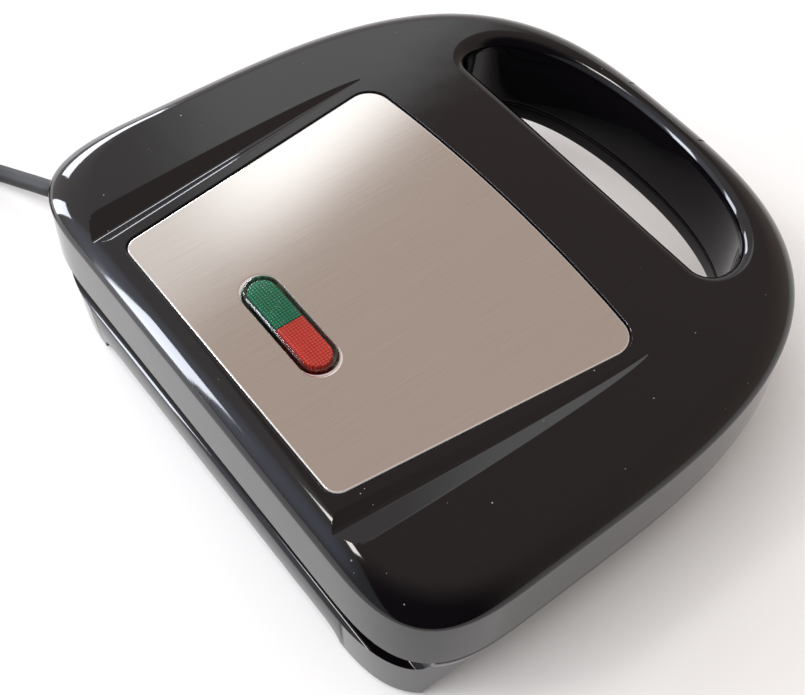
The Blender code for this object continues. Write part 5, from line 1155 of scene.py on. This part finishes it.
def cast_plate(name, sign):
    """One plate; sign is the way its back faces from the seam at 38 mm."""
    def at(depth):
        return 38.0 + sign * (0.3 + depth)

    def slab(*steps):
        """The plate's outline at pairs of growth and depth."""
        return [level(plate_outline(grow), at(depth)) for grow, depth in steps]

    bm = bmesh.new()
    loft(bm, slab((-0.6, 0.0), (-0.2, 0.18), (0.0, 0.6), (0.0, 5.5)))
    plate = mesh_piece(name, bm, non_stick)
    back = tool(slab((-2.0, 2.0), (-2.0, 8.0)))
    shells, pockets = [], []
    for corners in triangles():
        outside = []
        for depth, lean in ((0.0, 0.0), (10.0, 0.7), (12.5, 1.0)):
            outline = inset_triangle(corners, 0.9 + 6.5 * lean, 10.6 - 2.6 * lean, 5)
            outside.append(level(outline, at(depth)))
        shells.append(tool(outside))
        steps = [(-1.5, -1.1)]
        for i in range(6):
            a = math.pi / 2 * i / 5
            steps.append((1.3 - 1.3 * math.cos(a), -1.1 * (1 - math.sin(a))))
        for i in range(1, 4):
            steps.append((1.3 + 5.2 * i / 3, 3.2 * i / 3))
        for i in range(1, 9):
            a = math.pi / 2 * i / 8
            steps.append((6.5 + 4.0 * math.sin(a), 3.2 + 4.4 * (1 - math.cos(a)) + 0.6 * i / 8))
        inside = []
        for depth, lean in steps:
            outline = inset_triangle(corners, 2.5 + lean, max(9.0 - 0.5 * lean, 4.0))
            inside.append(level(outline, at(depth)))
        pockets.append(tool(inside))
    posts = [tool([level(circle(4.2, x, y), at(1.0)), level(circle(4.2, x, y), at(19.2))])
             for x, y in screws]
    seat = tool([level(circle(8.5, 0.0, PLATE_Y), at(1.0)), level(circle(8.5, 0.0, PLATE_Y), at(12.5))])
    ring = tool(slab((-1.25, -2.0), (-1.35, 0.3), (-1.85, 0.8)))
    core = tool(slab((-4.25, -4.0), (-4.15, 0.3), (-3.65, 2.0)))
    carve(ring, [("DIFFERENCE", [core])])
    carve(plate, [("DIFFERENCE", [back]), ("UNION", shells + posts + [seat]),
                  ("DIFFERENCE", pockets + [ring])])
    return smooth_faces(plate)


for name, sign, node_name, body in (("upper_cast_plate", 1, "upper_plate", "lid"),
                                    ("lower_cast_plate", -1, "lower_plate", "base")):
    plate = cast_plate(name, sign)
    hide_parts(node_name)
    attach(plate, body)


# Screws. Zinc-plated pan-head screws hold the lower plate through the base's floor; each head has
# a cross recess. The four upper ones lie hidden under the steel panel.

# Steel, barrelled and zinc-plated: bright grey with a faint blue and a fine tumbled texture
zinc, tree, shader = finish_named("zinc_plated_steel", Metallic=1.0, Roughness=0.32)
grained(tree, shader, 1800.0, 3.0, "#a9adb2", "#c6c9cc")

bm = bmesh.new()
turned(bm, [(1.6, 13.0), (1.6, 0.0), (3.4, 0.0), (3.4, -0.9), (3.1, -1.4), (2.4, -1.75), (1.2, -1.9)], 28)
screw_shape = mesh_piece("screw_shape", bm, zinc)
cross = [tool(box_loops(-half_x, half_x, -half_y, half_y, -2.5, -0.6))
         for half_x, half_y in ((2.0, 0.42), (0.42, 2.0))]
carve(screw_shape, [("DIFFERENCE", cross)])
smooth_faces(screw_shape)
heads = scatter("plate_screws", screw_shape, [(x, y, 12.05) for x, y in screws], zinc)
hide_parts("lower_screw_1", "lower_screw_2", "lower_screw_3", "lower_screw_4")
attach(heads, "base")


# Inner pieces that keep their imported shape: hinge and latch pins, upper screws, heating elements,
# reflectors, thermostat, fuse, terminal block, clamp, lamp tray and lamps.

def dress(mat, *names):
    for name in names:
        data = nodes[name].data
        if not data.materials:
            data.materials.append(mat)
        for i in range(len(data.materials)):
            data.materials[i] = mat


# Steel tube, drawn and fired: dull grey-brown with heat stains
sheath, tree, shader = finish_named("fired_steel_sheath", Metallic=1.0, Roughness=0.5)
grained(tree, shader, 60.0, 4.0, "#6a6058", "#8d8781")

# Aluminium sheet, rolled: bright with lines along the rolling direction
rolled, tree, shader = finish_named("rolled_aluminium", Metallic=1.0, Roughness=0.28)
grained(tree, shader, 1.0, 2.0, "#cfd1d3", "#e2e3e4", (20.0, 900.0, 900.0))

# Phenolic and steatite, pressed: matte cream with a mineral grain
pressed, tree, shader = finish_named("pressed_phenolic", Roughness=0.6, IOR=1.55)
grained(tree, shader, 700.0, 4.0, "#b8ab8e", "#d4cab2")

# Soda glass, drawn: clear with a warm tint from the gas and electrodes inside
bulb, tree, shader = finish_named("drawn_lamp_glass", Roughness=0.05, IOR=1.52)
shader.inputs["Base Color"].default_value = linear("#e6ded2")
shader.inputs["Transmission Weight"].default_value = 0.85

dress(zinc, "hinge_pin_left", "hinge_pin_right", "latch_pin", "upper_screw_1", "upper_screw_2",
      "upper_screw_3", "upper_screw_4")
dress(sheath, "upper_heater", "lower_heater")
dress(rolled, "upper_reflector", "lower_reflector")
dress(pressed, "thermostat", "thermal_fuse", "terminal_block", "cable_clamp", "lamp_holder")
dress(bulb, "neon_lamp_green", "neon_lamp_red")
